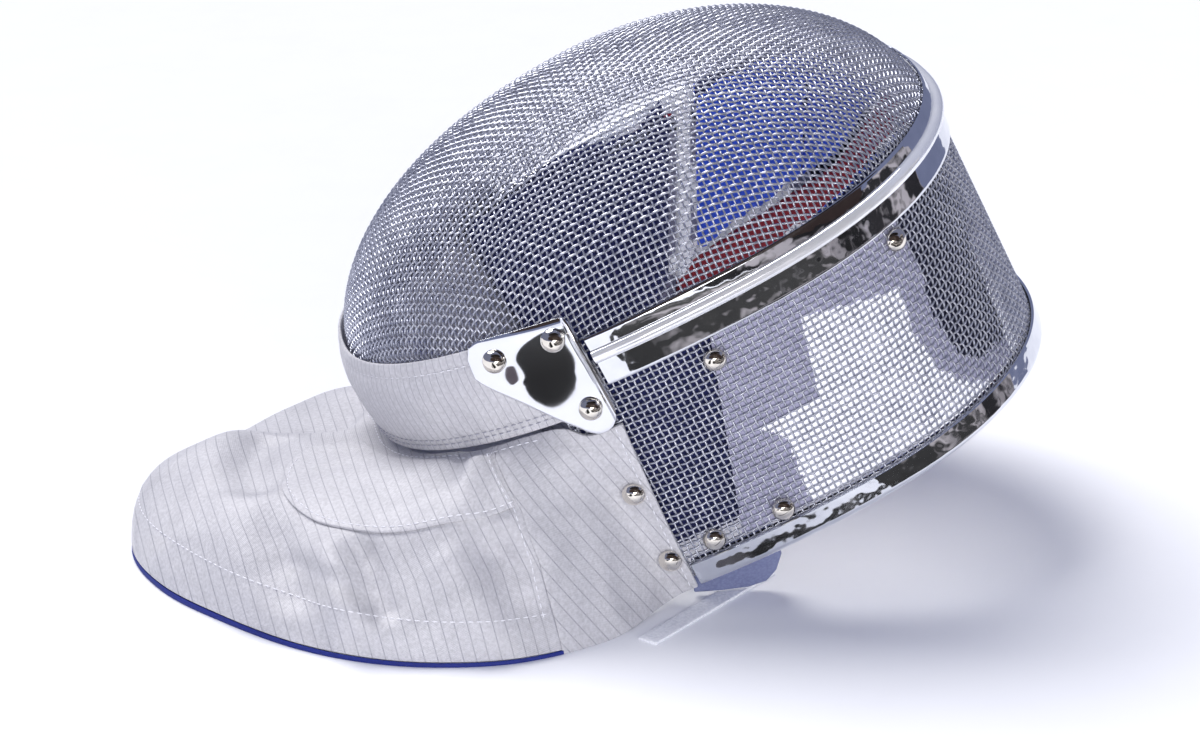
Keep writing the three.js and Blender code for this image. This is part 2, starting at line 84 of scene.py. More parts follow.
# Woven wire: how thick it is and how far apart the wires run.
WIRE_RADIUS = 0.5
WIRE_PITCH = 2.58
SKIRT_PITCH = 2.7
SKIRT_WIRES = {"top": -2.5, "foot": 2 - SKIRT_DEPTH}
# Where the flat wire cloth first touched the dome when it was pressed, and how far it was turned.
NET_START_X = -65
NET_TURN = -0.10
# Heights where its arms and its cells end and the wires are cut, limits of a cell, and spare cells.
ARM_FOOT = -9
CELL_FOOT = -6
WIRES_FOOT = 0.5
CELL_SHEAR = 0.92
CELL_LEAST = 1
SPARE_CELLS = 40

# Corner plate: x, lower edge, upper edge. Then its folded rear edge, and how finely it is cut along x.
PLATE_OUTLINE = np.array([
    (-82, 8, 15), (-80.5, 5.5, 18.6), (-77, 1, 20), (-70, -8, 19.8), (-63, -17.5, 19.4), (-57, -24.5, 19),
    (-55, -27.3, 18.9), (-52, -29.2, 18.7), (-49, -29.5, 18.5), (-46, -28.3, 18.3), (-44, -26, 18),
    (-42.5, -22.8, 17), (-41.6, -19.5, 15.5),
])
PLATE_FOLD = {"from": -44.4, "rise": 2}
PLATE_CUTS = ((-82, -79, 7), (-79, -45, 30), (-45, -41.6, 9))

# Rivets of one side on the wall (x, z, top of what they clamp) and on the cloth (round, down).
WALL_RIVETS = {
    "plate_front": (-73, 12, PLATE_OUT), "plate_upper": (-50.2, 12, PLATE_OUT),
    "plate_lower": (-50.2, -18, PLATE_OUT), "rim_front": (-34, -90.5, 1), "rim_middle": (-5.5, -91, 1),
    "seam_middle": (-2, -22, 1), "seam_rear": (79, -19, 1),
}
CLOTH_RIVETS = {"cloth_upper": (0.029, 0.37), "cloth_lower": (0.023, 0.8)}

# Bib sections of one side, rear edge to front: top x, top z, hem x, hem y, hem z, out, fall, rise, swell.
BIB_SECTIONS = (
    (-43.2, -29.6, 4.5, 90.6, 8.4, 0.33, 26, 26, -11.5),
    (-56.5, -29, -5.5, 87.8, 3.1, 0.33, 24, 24, -9.5),
    (-64, -22.5, -35, 113, 0, 0.3, 22, 26, -8),
    (-75, -20.9, -72, 126, 0, 0.36, 17, 26, -6),
    (-89, -21.6, -102, 124, 0, 0.4, 13, 28, -4),
    (-101, -22.6, -127, 115, 0, 0.42, 9, 32, -1),
    (-111, -23.8, -151, 98, 0, 0.45, 5, 37, 2),
    (-119, -25.2, -175, 70, 0, 0.5, 2, 43, 4),
    (-124, -26.2, -196, 37, 0, 0.5, 1, 46, 5),
    (-125.6, -26.6, -205, 0, 0, 0.5, 1, 46, 5),
)
# Gaps round the bib at its seams and the flap's side, and down it at the hem.
SEAM_GAP = 0.0002
FLAP_GAP = 0.004
HEM_GAP = 0.004
# Front seam: down the bib, round it. Throat flap: round the bib, down to its edge.
BIB_SEAM = np.array([(0, 0.215), (0.125, 0.206), (0.375, 0.172), (0.59, 0.156), (0.77, 0.148), (1, 0.142)])
FLAP_EDGE = np.array([
    (0.185, 0.36), (0.219, 0.41), (0.264, 0.455), (0.3125, 0.495), (0.34, 0.51), (0.365, 0.505),
    (0.391, 0.475), (0.41, 0.43), (0.44, 0.34), (0.4625, 0.27), (0.48, 0.21),
])
FLAP_TOP = 0.09
FLAP_OFF = CLOTH_THICK + GAP
FLAP_THICK = 1.0
# Share of its height that the far half of the bib has lost by slumping, and where that starts and ends.
SLUMP = 0.35
SLUMP_FROM = (0.5, 0.6)
SLUMP_TO = (0.84, 0.93)
BINDING_START = 0.98
EDGE_SHARE = 0.15

# Rows of stitches: on the collar by height, on the bib and the flap by shares round and down.
COLLAR_TOP_ROW = COLLAR_HIGH - 5
COLLAR_FOOT_ROWS = (COLLAR_LOW + 3, COLLAR_LOW + 5.2)
SEAM_ROW = 0.006
REAR_ROW = 0.0115
HEM_ROW = 0.81
TOP_ROW = {"down": 0.045, "from": 0.159}
FLAP_ROW = {"off_edge": 0.022, "off_side": 0.003, "to": 0.455}
SEAM_RUN = (0.02, 0.965)
STITCH_SPACING = 3.3
STITCH_SIZE = (0.25, 0.25, 1.15)
STITCH_GROOVE = {"depth": 0.55, "width": 0.8}
STITCH_PROUD = {"collar": -0.05, "bib": 0.12, "flap": 0.1}

# Lining: x, lower edge, upper edge; then where each panel runs.
PAD_EDGE = np.array([
    (-70, -94, 12), (-40, -94, 13), (-14, -94, 8.5), (4, -67, 5.5), (17, -61.4, 1), (24, -60.3, -1),
    (45, -57.5, 7), (57, -56.3, 10.5), (81, -50.5, 14), (94, -45.8, 13), (106, -34, 10.5), (117, -21, 5),
    (124, -9, 4), (130, -7, 4),
])
PAD_SLANT = 0.51
PAD_OUT = -2.8
PAD_IN = -9.5
CHEEK = (-66, 41.2)
STRIPE = (41.6, 47.4)
TEMPLE = (47.8, 103.4)
CROWN_FROM = 101.6
CROWN_LAP = 1.2
BINDING_WIDTH = 16
# Foam pads: how far the covers start inside their outline, the most that the filling pushes them out,
# and the size of their cells, the pressure and the frames of that.
PAD_INSET = 1.2
SWELL_CAP = 1.6
FILLING = {"voxel": 4, "pressure": 4, "frames": 20}
# How squarely a face has to look at the wires to get navy cloth, dark as painted shade between the pad and
# the wires.
FACING = 0.55
# Backing: its top and foot, the ends of each, and the outlines of its white patch and of its dark end, which
# is painted shade.
BACKING = {"top": -8, "foot": -94.5, "from": (2, -24), "to": (112, 104), "in": -2.4, "out": -1.5}
WHITE_PATCH = ((34, -24), (73, -37), (70, -55), (73, -76), (78, -83), (85, -91), (92, -96), (5, -96),
               (8, -66), (1, -57), (26, -56))
PAINTED_SHADE_END = ((84, 0), (84, -35), (80.5, -54), (82, -70), (83.5, -77), (90, -84), (130, -90), (130, 0))

# Strap tab: its top on the wall, and share, along, across and height of its foot.
TAB_TOP = {"from": -47, "to": -12, "z": -97.6, "off": -2.8}
TAB_THICK = 1.6
TAB_FOOT = np.array([
    (0, 5, 82.5, 1.7), (0.35, 16, 83, 1.7), (0.7, 27, 82, 1.8),
    (0.88, 34, 82.5, 4), (0.96, 37.5, 84, 9), (1, 39, 86, 17),
])
TAPE = {"front": (-22, 120), "rear": (38, 65.9), "width": 8.5, "thick": 1.2}


def along_line(points):
    """Distance of each point of a line from its first one."""
    return np.r_[0, np.cumsum(np.linalg.norm(np.diff(points, axis=0), axis=1))]


def power(value, exponent):
    return np.sign(value) * np.abs(value) ** exponent


def unit(vectors):
    return vectors / np.maximum(np.linalg.norm(vectors, axis=-1, keepdims=True), 1e-9)


def blend(low, high, value):
    """0 below low, 1 above high, and smooth between them."""
    share = np.clip((value - low) / (high - low), 0, 1)
    return share * share * (3 - 2 * share)


def lie(local):
    """Mask-local points in millimetres to their place in the lying pose, in metres."""
    x, y, z = np.moveaxis(np.asarray(local, float), -1, 0)
    cos, sin = math.cos(RECLINE), math.sin(RECLINE)
    return MM * np.stack([x * cos - z * sin + LOOP_X, y, x * sin + z * cos + LOOP_HEIGHT], -1)


def angle_at(x, side):
    """Angle on the seam loop of a local x, on the left (-1) or right (+1) side."""
    return side * np.arccos(power(np.clip(np.asarray(x) / HALF_LENGTH, -1, 1), LOOP_POWER / 2))


def wall_point(angle, z, climb):
    x = HALF_LENGTH * power(np.cos(angle), 2 / LOOP_POWER)
    widened = 1 + CROWN_WIDENING * x / HALF_LENGTH
    y = HALF_WIDTH * power(np.sin(angle), 2 / LOOP_POWER) * widened
    shrink = np.maximum(0, np.cos(climb)) ** (2 / DOME_POWER)
    height = np.sin(climb) ** (2 / DOME_POWER)
    return np.stack([shrink * x + DOME_LEAN * height, shrink * y, z + DOME_RISE * height], -1)


def on_wall(angle, z, off):
    """Points off the wire wall: angle round the loop, local z, distance outwards."""
    angle, z, off = np.broadcast_arrays(*(np.asarray(a, float) for a in (angle, z, off)))
    climb = np.arcsin((np.clip(z, 0, DOME_RISE) / DOME_RISE) ** (DOME_POWER / 2))
    along = wall_point(angle + STEP, 0 * z, climb) - wall_point(angle - STEP, 0 * z, climb)
    up = wall_point(angle, 0 * z, climb + STEP) - wall_point(angle, 0 * z, climb)
    up[climb <= 0] = (0, 0, 1)
    normal = unit(np.cross(along, up))
    return lie(wall_point(angle, np.minimum(z, 0), climb) + normal * off[..., None])


def stations(start, end, count):
    """Angles between two places on the loop, evenly spaced along it."""
    fine = np.linspace(start, end, 801)
    lengths = along_line(wall_point(fine, 0 * fine, 0 * fine))
    return np.interp(np.linspace(0, lengths[-1], count + 1), lengths, fine)


def bib_controls(row, side):
    top_x, top_z, hem_x, hem_y, hem_z, out, fall, rise, swell = row
    start = on_wall(angle_at(top_x, side), top_z, CLOTH_IN) / MM
    end = np.array([hem_x + LOOP_X, side * hem_y, hem_z])
    outward = (end - start) * (1, 1, 0)
    first = start + outward * out - (0, 0, fall)
    second = end + unit(outward) * swell + (0, 0, rise)
    return np.array([start, first, second, end])


BIB_CONTROLS = np.array(
    [bib_controls(row, -1) for row in BIB_SECTIONS]
    + [bib_controls(row, 1) for row in BIB_SECTIONS[-2::-1]]
)


def bib_surface(u, v):
    """The bib's inner face in millimetres: u round it from the left rear edge, v down it."""
    u, v = np.broadcast_arrays(np.asarray(u, float), np.asarray(v, float))
    knots = BIB_CONTROLS
    knots = np.concatenate([2 * knots[:1] - knots[1:2], knots, 2 * knots[-1:] - knots[-2:-1]])
    place = np.clip(u, 0, 1) * (len(BIB_CONTROLS) - 1)
    index = np.minimum(place.astype(int), len(BIB_CONTROLS) - 2)
    w = (place - index)[..., None, None]
    p0, p1, p2, p3 = (knots[index + k] for k in range(4))
    d0, d1, d2 = (
        np.sqrt(np.linalg.norm(b - a, axis=-1, keepdims=True))
        for a, b in ((p0, p1), (p1, p2), (p2, p3))
    )
    t1 = d1 * ((p1 - p0) / d0 - (p2 - p0) / (d0 + d1) + (p2 - p1) / d1)
    t2 = d1 * ((p2 - p1) / d1 - (p3 - p1) / (d1 + d2) + (p3 - p2) / d2)
    c = p1 + t1 * w + (3 * (p2 - p1) - 2 * t1 - t2) * w ** 2 + (2 * (p1 - p2) + t1 + t2) * w ** 3
    s, t = (1 - v)[..., None], v[..., None]
    points = (
        c[..., 0, :] * s ** 3 + 3 * c[..., 1, :] * s * s * t
        + 3 * c[..., 2, :] * s * t * t + c[..., 3, :] * t ** 3
    )
    far = blend(*SLUMP_FROM, u) - blend(*SLUMP_TO, u)
    points[..., 2] *= 1 - SLUMP * far * blend(0, 0.15, v)
    return points


def on_bib(u, v, off):
    """Points off the bib's inner face, in metres."""
    u, v, off = np.broadcast_arrays(*(np.asarray(a, float) for a in (u, v, off)))
    around = bib_surface(np.minimum(1, u + STEP), v) - bib_surface(np.maximum(0, u - STEP), v)
    down = bib_surface(u, np.minimum(1, v + STEP)) - bib_surface(u, np.maximum(0, v - STEP))
    normal = unit(np.cross(around, down))
    mask_axis = np.array([-math.sin(RECLINE), 0, math.cos(RECLINE)])
    level = np.where((v < 0.5)[..., None], mask_axis, (0.0, 0.0, 1.0))
    square = unit(normal - level * (normal * level).sum(-1, keepdims=True))
    edge = np.maximum(np.maximum(1 - v / EDGE_SHARE, (v - 1 + EDGE_SHARE) / EDGE_SHARE), 0)[..., None]
    points = bib_surface(u, v) + unit(normal + (square - normal) * edge) * off[..., None]
    points[..., 2] = np.maximum(points[..., 2], 0)
    return points * MM


def seam_at(v):
    return np.interp(v, *BIB_SEAM.T)


# Soft folds in the cloth: where each starts and ends round and down the bib, its half width and rise in mm.
BIB_ROUND = 450
BIB_DOWN = 105
BIB_FOLDS = (
    (0.232, 0.02, 0.225, 0.34, 8, 4.5),
    (0.260, 0.05, 0.250, 0.30, 7, -2.2),
    (0.262, 0.36, 0.230, 0.54, 9, 4.2),
    (0.190, 0.56, 0.168, 0.78, 5, -5.0),
    (0.222, 0.60, 0.200, 0.80, 7, 3.5),
    (0.303, 0.58, 0.272, 0.78, 4, -5.5),
    (0.330, 0.60, 0.296, 0.80, 6, 5.0),
    (0.372, 0.62, 0.345, 0.80, 6, -3.5),
    (0.300, 0.55, 0.250, 0.95, 9, 2.0),
    (0.385, 0.55, 0.340, 0.80, 7, -1.6),
    (0.400, 0.50, 0.370, 0.98, 9, 1.8),
    (0.430, 0.45, 0.520, 0.33, 6, -5.0),
    (0.440, 0.52, 0.540, 0.42, 8, 2.6),
    (0.450, 0.55, 0.430, 0.90, 8, -1.8),
    (0.180, 0.30, 0.165, 0.95, 7, 1.6),
    (0.100, 0.25, 0.085, 0.95, 12, -1.4),
    (0.540, 0.45, 0.560, 0.98, 9, 1.8),
    (0.620, 0.35, 0.655, 0.98, 9, -2.0),
    (0.700, 0.30, 0.760, 0.95, 10, 2.2),
    (0.765, 0.02, 0.775, 0.34, 8, 3.5),
    (0.880, 0.30, 0.900, 0.95, 11, -1.4),
)


def fold_rise(u, v):
    """How far the cloth stands off its drawn shape, in millimetres."""
    x, y = u * BIB_ROUND, v * BIB_DOWN
    rise = 0 * x
    for u0, v0, u1, v1, width, depth in BIB_FOLDS:
        ax, ay = u0 * BIB_ROUND, v0 * BIB_DOWN
        dx, dy = u1 * BIB_ROUND - ax, v1 * BIB_DOWN - ay
        along = np.clip(((x - ax) * dx + (y - ay) * dy) / (dx * dx + dy * dy), 0, 1)
        away = (x - ax - along * dx) ** 2 + (y - ay - along * dy) ** 2
        rise = rise + depth * np.exp(-away / (2 * width * width))
    return rise * blend(0, 0.1, v) * blend(1, 0.86, v) * blend(0, 0.05, np.minimum(u, 1 - u))


def on_cloth(u, v, off):
    """Points off the bib with its folds, in metres."""
    return on_bib(u, v, off + fold_rise(np.asarray(u, float), np.asarray(v, float)))


def lean(x, z):
    """The lining's panels lean back along x as they go down, less and less round the crown."""
    crown = np.where(x > CROWN_FROM, (angle_at(x, 1) / angle_at(CROWN_FROM, 1)) ** 2, 1)
    return x + PAD_SLANT * z * np.clip((x + 44) / 60, 0, crown)


def edge_low(x):
    low = np.interp(lean(x, -70), *PAD_EDGE.T[:2])
    return np.interp(lean(x, low), *PAD_EDGE.T[:2])


def edge_high(x):
    return np.interp(x, *PAD_EDGE.T[::2])


def on_lining(side, x, z, off):
    return on_wall(angle_at(lean(x, z), side), z, off)


def linear(code):
    """An sRGB hex colour as linear red, green, blue and alpha."""
    parts = [int(code[i:i + 2], 16) / 255 for i in (1, 3, 5)]
    return tuple(c / 12.92 if c <= 0.04045 else ((c + 0.055) / 1.055) ** 2.4 for c in parts) + (1.0,)


def put(tree, kind, values=None, **settings):
    """Adds a node: its settings, and for each input a fixed value or the socket that feeds it.

    The kind leaves out the prefix that all nodes of the tree's own sort share."""
    made = tree.nodes.new(kind if "Node" in kind else tree.bl_idname.replace("Tree", kind))
    for name, value in settings.items():
        setattr(made, name, value)
    for name, value in (values or {}).items():
        if isinstance(value, bpy.types.NodeSocket):
            tree.links.new(value, made.inputs[name])
        else:
            made.inputs[name].default_value = value
    return made.outputs


def finish(name, build, *looks, **fixed):
    """A material: the shader's fixed values, and build(tree, *looks), which gives those that vary."""
    made = bpy.data.materials.new(name)
    made.use_nodes = True
    tree = made.node_tree
    tree.nodes.clear()
    values = {key.replace("_", " "): value for key, value in fixed.items()}
    shader = put(tree, "BsdfPrincipled", {**values, **build(tree, *looks)})
    put(tree, "OutputMaterial", {"Surface": shader["BSDF"]})
    return made


def per_mm(size):
    """Scale of a pattern whose features are that many millimetres wide."""
    return 1 / (size * MM)


def cloud(spot, size, detail):
    """Inputs of a soft noise with patches that many millimetres wide."""
    return {"Vector": spot, "Scale": per_mm(size), "Detail": detail}


def span(value, start, end, low, high):
    """Inputs that map one range of a value to another."""
    return {"Value": value, "From Min": start, "From Max": end, "To Min": low, "To Max": high}


def shades(share, first, second):
    """Inputs that mix two colours."""
    return {"Factor": share, "A": linear(first), "B": linear(second)}


def mottled(tree, dark, light, size, detail):
    """A surface with soft patches: where it is, the share of the light colour, and the colour."""
    spot = put(tree, "TexCoord")["Object"]
    share = put(tree, "TexNoise", cloud(spot, size, detail))["Fac"]
    tone = put(tree, "Mix", shades(share, dark, light), data_type="RGBA")["Result"]
    return spot, share, tone


def drawn_wire(tree, dark, light):
    return {"Base Color": mottled(tree, dark, light, 9, 3.0)[2]}


def polished(tree, light, dark, smear, wave, depth):
    spot, haze, tone = mottled(tree, dark, light, smear, 4.0)
    rough = put(tree, "MapRange", span(haze, 0.0, 1.0, 0.02, 0.07))["Result"]
    swell = put(tree, "TexNoise", cloud(spot, wave, 1.0))["Fac"]
    bump = put(tree, "Bump", {"Height": swell, "Strength": 0.6, "Distance": depth * MM})["Normal"]
    return {"Base Color": tone, "Roughness": rough, "Normal": bump}


# Pin stripes of the bib, and its threads drawn about three times as coarse as they are, so that they show.
PIN_PITCH = 4.3
COLLAR_PINS = 3.3
THREAD_PITCH = 1.15
# How the pins lean: on the panel and near its hem, and the height in metres where that changes.
FRONT_LEAN = (0.45, 0.22)
SIDE_LEAN = (0.8, 0.8)
PIN_BEND = 0.03


def striped_cloth(tree):
    uv = put(tree, "UVMap", uv_map="cloth")["UV"]
    across, along, _ = put(tree, "SeparateXYZ", {"Vector": uv})
    turns = put(tree, "Math", {0: across, 1: per_mm(PIN_PITCH)}, operation="MULTIPLY")[0]
    place = put(tree, "Math", {0: turns, 1: 0.5}, operation="PINGPONG")[0]
    pin = put(tree, "MapRange", span(place, 0.012, 0.075, 1.0, 0.0))["Result"]
    waves = []
    for way in (across, along):
        turn = put(tree, "Math", {0: way, 1: math.tau * per_mm(THREAD_PITCH)}, operation="MULTIPLY")[0]
        waves.append(put(tree, "Math", {0: turn}, operation="SINE")[0])
    weave = put(tree, "Math", dict(enumerate(waves)), operation="MULTIPLY")[0]
    spot, _, ground = mottled(tree, "#bdbcc2", "#d1d0d4", 38, 2.0)
    slub = put(tree, "TexNoise", cloud(spot, 1.3, 3.0))["Fac"]
    grain = put(tree, "MapRange", span(slub, 0.3, 0.7, 0.84, 1.07))["Result"]
    with_grain = {"Factor": 1.0, "A": ground, "B": grain}
    grained = put(tree, "Mix", with_grain, data_type="RGBA", blend_type="MULTIPLY")["Result"]
    dash = put(tree, "MapRange", span(slub, 0.35, 0.6, 0.3, 0.85))["Result"]
    mark = put(tree, "Math", {0: pin, 1: dash}, operation="MULTIPLY")[0]
    tone = put(tree, "Mix", {"Factor": mark, "A": grained, "B": linear("#85858f")}, data_type="RGBA")["Result"]
    height = put(tree, "Math", {0: weave, 1: slub}, operation="ADD")[0]
    rumple = put(tree, "TexNoise", {**cloud(spot, 44, 1.0), "Distortion": 0.6})["Fac"]
    soft = put(tree, "Bump", {"Height": rumple, "Strength": 0.9, "Distance": 13 * MM})["Normal"]
    threads = {"Height": height, "Strength": 0.35, "Distance": 0.12 * MM, "Normal": soft}
    return {"Base Color": tone, "Normal": put(tree, "Bump", threads)["Normal"]}


def knit(tree, dark, light, loop, depth):
    spot = put(tree, "TexCoord")["Object"]
    # The colour darkens from each loop's middle to its edge: painted shade between the loops, deeper in soft
    # random patches.
    cells = put(tree, "TexVoronoi", {"Vector": spot, "Scale": per_mm(loop)})["Distance"]
    uneven_shade = put(tree, "TexNoise", cloud(spot, 14, 3.0))["Fac"]
    loop_shade = put(tree, "Math", {0: cells, 1: uneven_shade}, operation="MULTIPLY")[0]
    tone = put(tree, "Mix", shades(loop_shade, light, dark), data_type="RGBA")["Result"]
    loops = {"Height": cells, "Strength": 0.5, "Distance": depth * MM}
    return {"Base Color": tone, "Normal": put(tree, "Bump", loops, invert=True)["Normal"]}


# Tinned spring-steel wire, drawn and woven: bright lines, duller where hands have rubbed the tin.
WIRE = finish("tinned_steel_wire", drawn_wire, "#868a9e", "#e4e6f0", Metallic=0.75, Roughness=0.27)
# The same wire on the skirt in a paler, less metallic copy: painted light, so that the skirt's wires look
# more brightly lit.
SKIRT_WIRE = finish("dull_tinned_steel_wire", drawn_wire, "#8d91a4", "#e6e8f2", Metallic=0.66,
                    Roughness=0.25)
# Chromed sheet steel, pressed and plated: a mirror, a little bent where the press pulled it.
CHROME = finish("chromed_pressed_steel", polished, "#f4f5f8", "#e2e4ea", 12, 30, 0.35, Metallic=1.0)
# Chromed strip rolled down over the wires, which print through it and break its reflections up.
STRIP = finish("chromed_rolled_strip", polished, "#f4f5f8", "#d6d9e0", 7, 6, 0.25, Metallic=1.0)
# The strip's raised bead, with a painted highlight: a nearly white, half-matt copy of the chrome that shows
# as a bright line, with a soft line of the room in it.
BEAD = finish("chromed_rubbed_bead", polished, "#ffffff", "#eceef4", 9, 12, 0.1, Metallic=0.55)
# Nickel-plated brass rivets, headed cold: a warm mirror with a soft haze.
NICKEL = finish("nickel_plated_rivet", polished, "#f6f1e8", "#e3dccf", 5, 9, 0.05, Metallic=1.0)
# Plain-woven polyester with metal thread and dark pins: a dry lilac grey with a faint silver sheen.
CLOTH = finish("pin_striped_metal_cloth", striped_cloth, Roughness=0.62, Sheen_Weight=0.15, Metallic=0.08)
# Spun polyester sewing thread, white and graphite: short dull dashes with a twist.
THREAD = finish("white_polyester_thread", knit, "#d2d2db", "#f1f1f6", 0.8, 0.1, Roughness=0.6)
DARK_THREAD = finish("graphite_polyester_thread", knit, "#8c8c99", "#aeaebb", 0.8, 0.1, Roughness=0.6)
# Woven tape folded over the hem: saturated royal blue with a fine rib.
HEM = finish("royal_blue_woven_tape", knit, "#0a1552", "#182a86", 1.1, 0.12, Roughness=0.75)
# Brushed knit over foam, navy, nearly black and blue: soft and matt, with the loops' shadows.
NAVY = finish("navy_brushed_knit", knit, "#0c1034", "#1c2560", 1.4, 0.25, Roughness=0.9, Sheen_Weight=0.2)
# Nearly black: the navy knit darkened further as painted shade, for the backing's end deep inside the crown.
INK = finish("ink_blue_brushed_knit", knit, "#04061a", "#0b0f30", 1.4, 0.25, Roughness=0.95)
BLUE = finish("royal_blue_brushed_knit", knit, "#2846cc", "#426dfb", 1.4, 0.25, Roughness=0.9,
              Sheen_Weight=0.2)
# Open spacer knit: pale and matt. The white one has a painted glow: a little light of its own, standing in
# for the light that comes through it.
WHITE = finish("white_spacer_knit", knit, "#e6e7ee", "#ffffff", 1.6, 0.25, Roughness=0.85, Sheen_Weight=0.2,
               Emission_Color=linear("#eceefa"), Emission_Strength=0.2)
LILAC = finish("lilac_grey_spacer_knit", knit, "#807f9b", "#adacc5", 1.6, 0.25, Roughness=0.85,
               Sheen_Weight=0.2)
# Folded cotton tape: a dull red ridge with a coarse rib.
RED = finish("red_cotton_binding", knit, "#6e151f", "#b5333f", 1.0, 0.15, Roughness=0.8)
# Polyester webbing in grey-blue, darkened as painted shade for the shade under the rim: even, matt, with a
# thread grain.
WEBBING = finish("grey_blue_webbing", knit, "#585f82", "#7c83a6", 1.1, 0.15, Roughness=0.8)
# Hook tape in white nylon: a rough pale strip of tiny hooks.
HOOKS = finish("white_hook_tape", knit, "#c9ccd6", "#fafbff", 1.2, 0.4, Roughness=0.7)


def grid_faces(rows, columns):
    """Quads over a grid of points kept row by row, facing the way rows cross columns."""
    i, j = (a.ravel() for a in np.meshgrid(np.arange(rows - 1), np.arange(columns - 1), indexing="ij"))
    a = i * columns + j
    return np.stack([a, a + columns, a + columns + 1, a + 1], 1)


def tube_faces(rows, size):
    """Quads round a ring of points carried along rows, with both ends closed."""
    i, j = (a.ravel() for a in np.meshgrid(np.arange(rows - 1), np.arange(size), indexing="ij"))
    k = (j + 1) % size
    sides = np.stack([i * size + j, (i + 1) * size + j, (i + 1) * size + k, i * size + k], 1).tolist()
    last = (rows - 1) * size
    return sides + [list(range(size)), list(range(last + size - 1, last - 1, -1))]


def plain_mesh(name, points, faces, cloth=None):
    mesh = bpy.data.meshes.new(name)
    mesh.from_pydata(points.reshape(-1, 3).tolist(), [], np.asarray(faces, object).tolist())
    if cloth is not None:
        index = np.empty(len(mesh.loops), int)
        mesh.loops.foreach_get("vertex_index", index)
        layer = mesh.uv_layers.new(name="cloth")
        layer.data.foreach_set("uv", cloth.reshape(-1, 2)[index].ravel())
    mesh.shade_smooth()
    return mesh


def linked(name, data):
    made = bpy.data.objects.new(name, data)
    scene.collection.objects.link(made)
    return made


def evaluated(maker):
    """The mesh that an object's modifiers make, in place of the object."""
    graph = bpy.context.evaluated_depsgraph_get()
    made = bpy.data.meshes.new_from_object(maker.evaluated_get(graph))
    bpy.data.objects.remove(maker)
    return made


def worked(mesh, *steps):
    """The mesh after modifiers, each a kind with its settings."""
    blank = linked(mesh.name, mesh)
    for kind, settings in steps:
        step = blank.modifiers.new(kind.lower(), kind)
        for key, value in settings.items():
            setattr(step, key, value)
    return evaluated(blank)


def thick(mesh, thickness, edge):
    """A cloth or metal sheet given its thickness inwards, with its edges rounded."""
    return worked(
        mesh,
        ("SOLIDIFY", {"thickness": thickness * MM, "offset": -1.0, "use_quality_normals": True}),
        ("BEVEL", {"width": edge * MM, "segments": 2, "limit_method": "ANGLE", "angle_limit": 1.0}),
    )


def sheet_mesh(name, points, thickness, edge, cloth=None):
    """A sheet over a grid of points."""
    return thick(plain_mesh(name, points, grid_faces(*points.shape[:2]), cloth), thickness, edge)


def tube_mesh(name, points):
    """A closed tube through rings of points."""
    return plain_mesh(name, points, tube_faces(*points.shape[:2]))


def piece(name, mesh, material, slot, *nodes):
    mesh.materials.clear()
    mesh.materials.append(material)
    made = linked(name, mesh)
    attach(made, "root")
    if nodes:
        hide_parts(*nodes)
    return made


def new_tree(name, *sizes):
    """A geometry tree with named inputs: its sizes and its finish."""
    tree = bpy.data.node_groups.new(name, "GeometryNodeTree")
    tree.interface.new_socket("Path", in_out="INPUT", socket_type="NodeSocketGeometry")
    for label, kind in sizes:
        tree.interface.new_socket(label, in_out="INPUT", socket_type="NodeSocket" + kind)
    tree.interface.new_socket("Finish", in_out="INPUT", socket_type="NodeSocketMaterial")
    tree.interface.new_socket("Piece", in_out="OUTPUT", socket_type="NodeSocketGeometry")
    return tree, put(tree, "NodeGroupInput")


def close_tree(tree, given, geometry):
    real = put(tree, "RealizeInstances", {"Geometry": geometry})["Geometry"]
    smooth = put(tree, "SetShadeSmooth", {"Geometry": real})["Geometry"]
    done = put(tree, "SetMaterial", {"Geometry": smooth, "Material": given["Finish"]})["Geometry"]
    put(tree, "NodeGroupOutput", {"Piece": done})
    return tree


def grown(name, tree, path, **sizes):
    """What a tree makes of a path mesh, as a plain mesh."""
    maker = linked(name + "_path", path)
    step = maker.modifiers.new("grow", "NODES")
    step.node_group = tree
    for item in tree.interface.items_tree:
        if item.in_out == "INPUT" and item.name.replace(" ", "_") in sizes:
            step[item.identifier] = sizes[item.name.replace(" ", "_")]
    made = evaluated(maker)
    made.name = name
    return made


def wire_tree():
    """Round wires along every line of the path."""
    tree, given = new_tree("woven_wires", ("Wire Radius", "Float"), ("Wire Sides", "Int"))
    curve = put(tree, "MeshToCurve", {"Mesh": given["Path"]})["Curve"]
    size = {"Resolution": given["Wire Sides"], "Radius": given["Wire Radius"]}
    ring = put(tree, "CurvePrimitiveCircle", size)["Curve"]
    wires = put(tree, "CurveToMesh", {"Curve": curve, "Profile Curve": ring, "Fill Caps": True})["Mesh"]
    return close_tree(tree, given, wires)


def stitch_tree():
    """Short threads laid end to end along every line of the path."""
    tree, given = new_tree("stitch_run", ("Stitch Spacing", "Float"), ("Stitch Size", "Vector"))
    curve = put(tree, "MeshToCurve", {"Mesh": given["Path"]})["Curve"]
    steps = put(tree, "ResampleCurve", {"Curve": curve, "Length": given["Stitch Spacing"]},
                mode="LENGTH")["Curve"]
    along = put(tree, "InputTangent")["Tangent"]
    turn = put(tree, "FunctionNodeAlignRotationToVector", {"Vector": along}, axis="Z")["Rotation"]
    thread = put(tree, "MeshUVSphere", {"Segments": 6, "Rings": 4, "Radius": 1.0})["Mesh"]
    threads = put(tree, "InstanceOnPoints",
                  {"Points": steps, "Instance": thread, "Rotation": turn, "Scale": given["Stitch Size"]})
    return close_tree(tree, given, threads["Instances"])


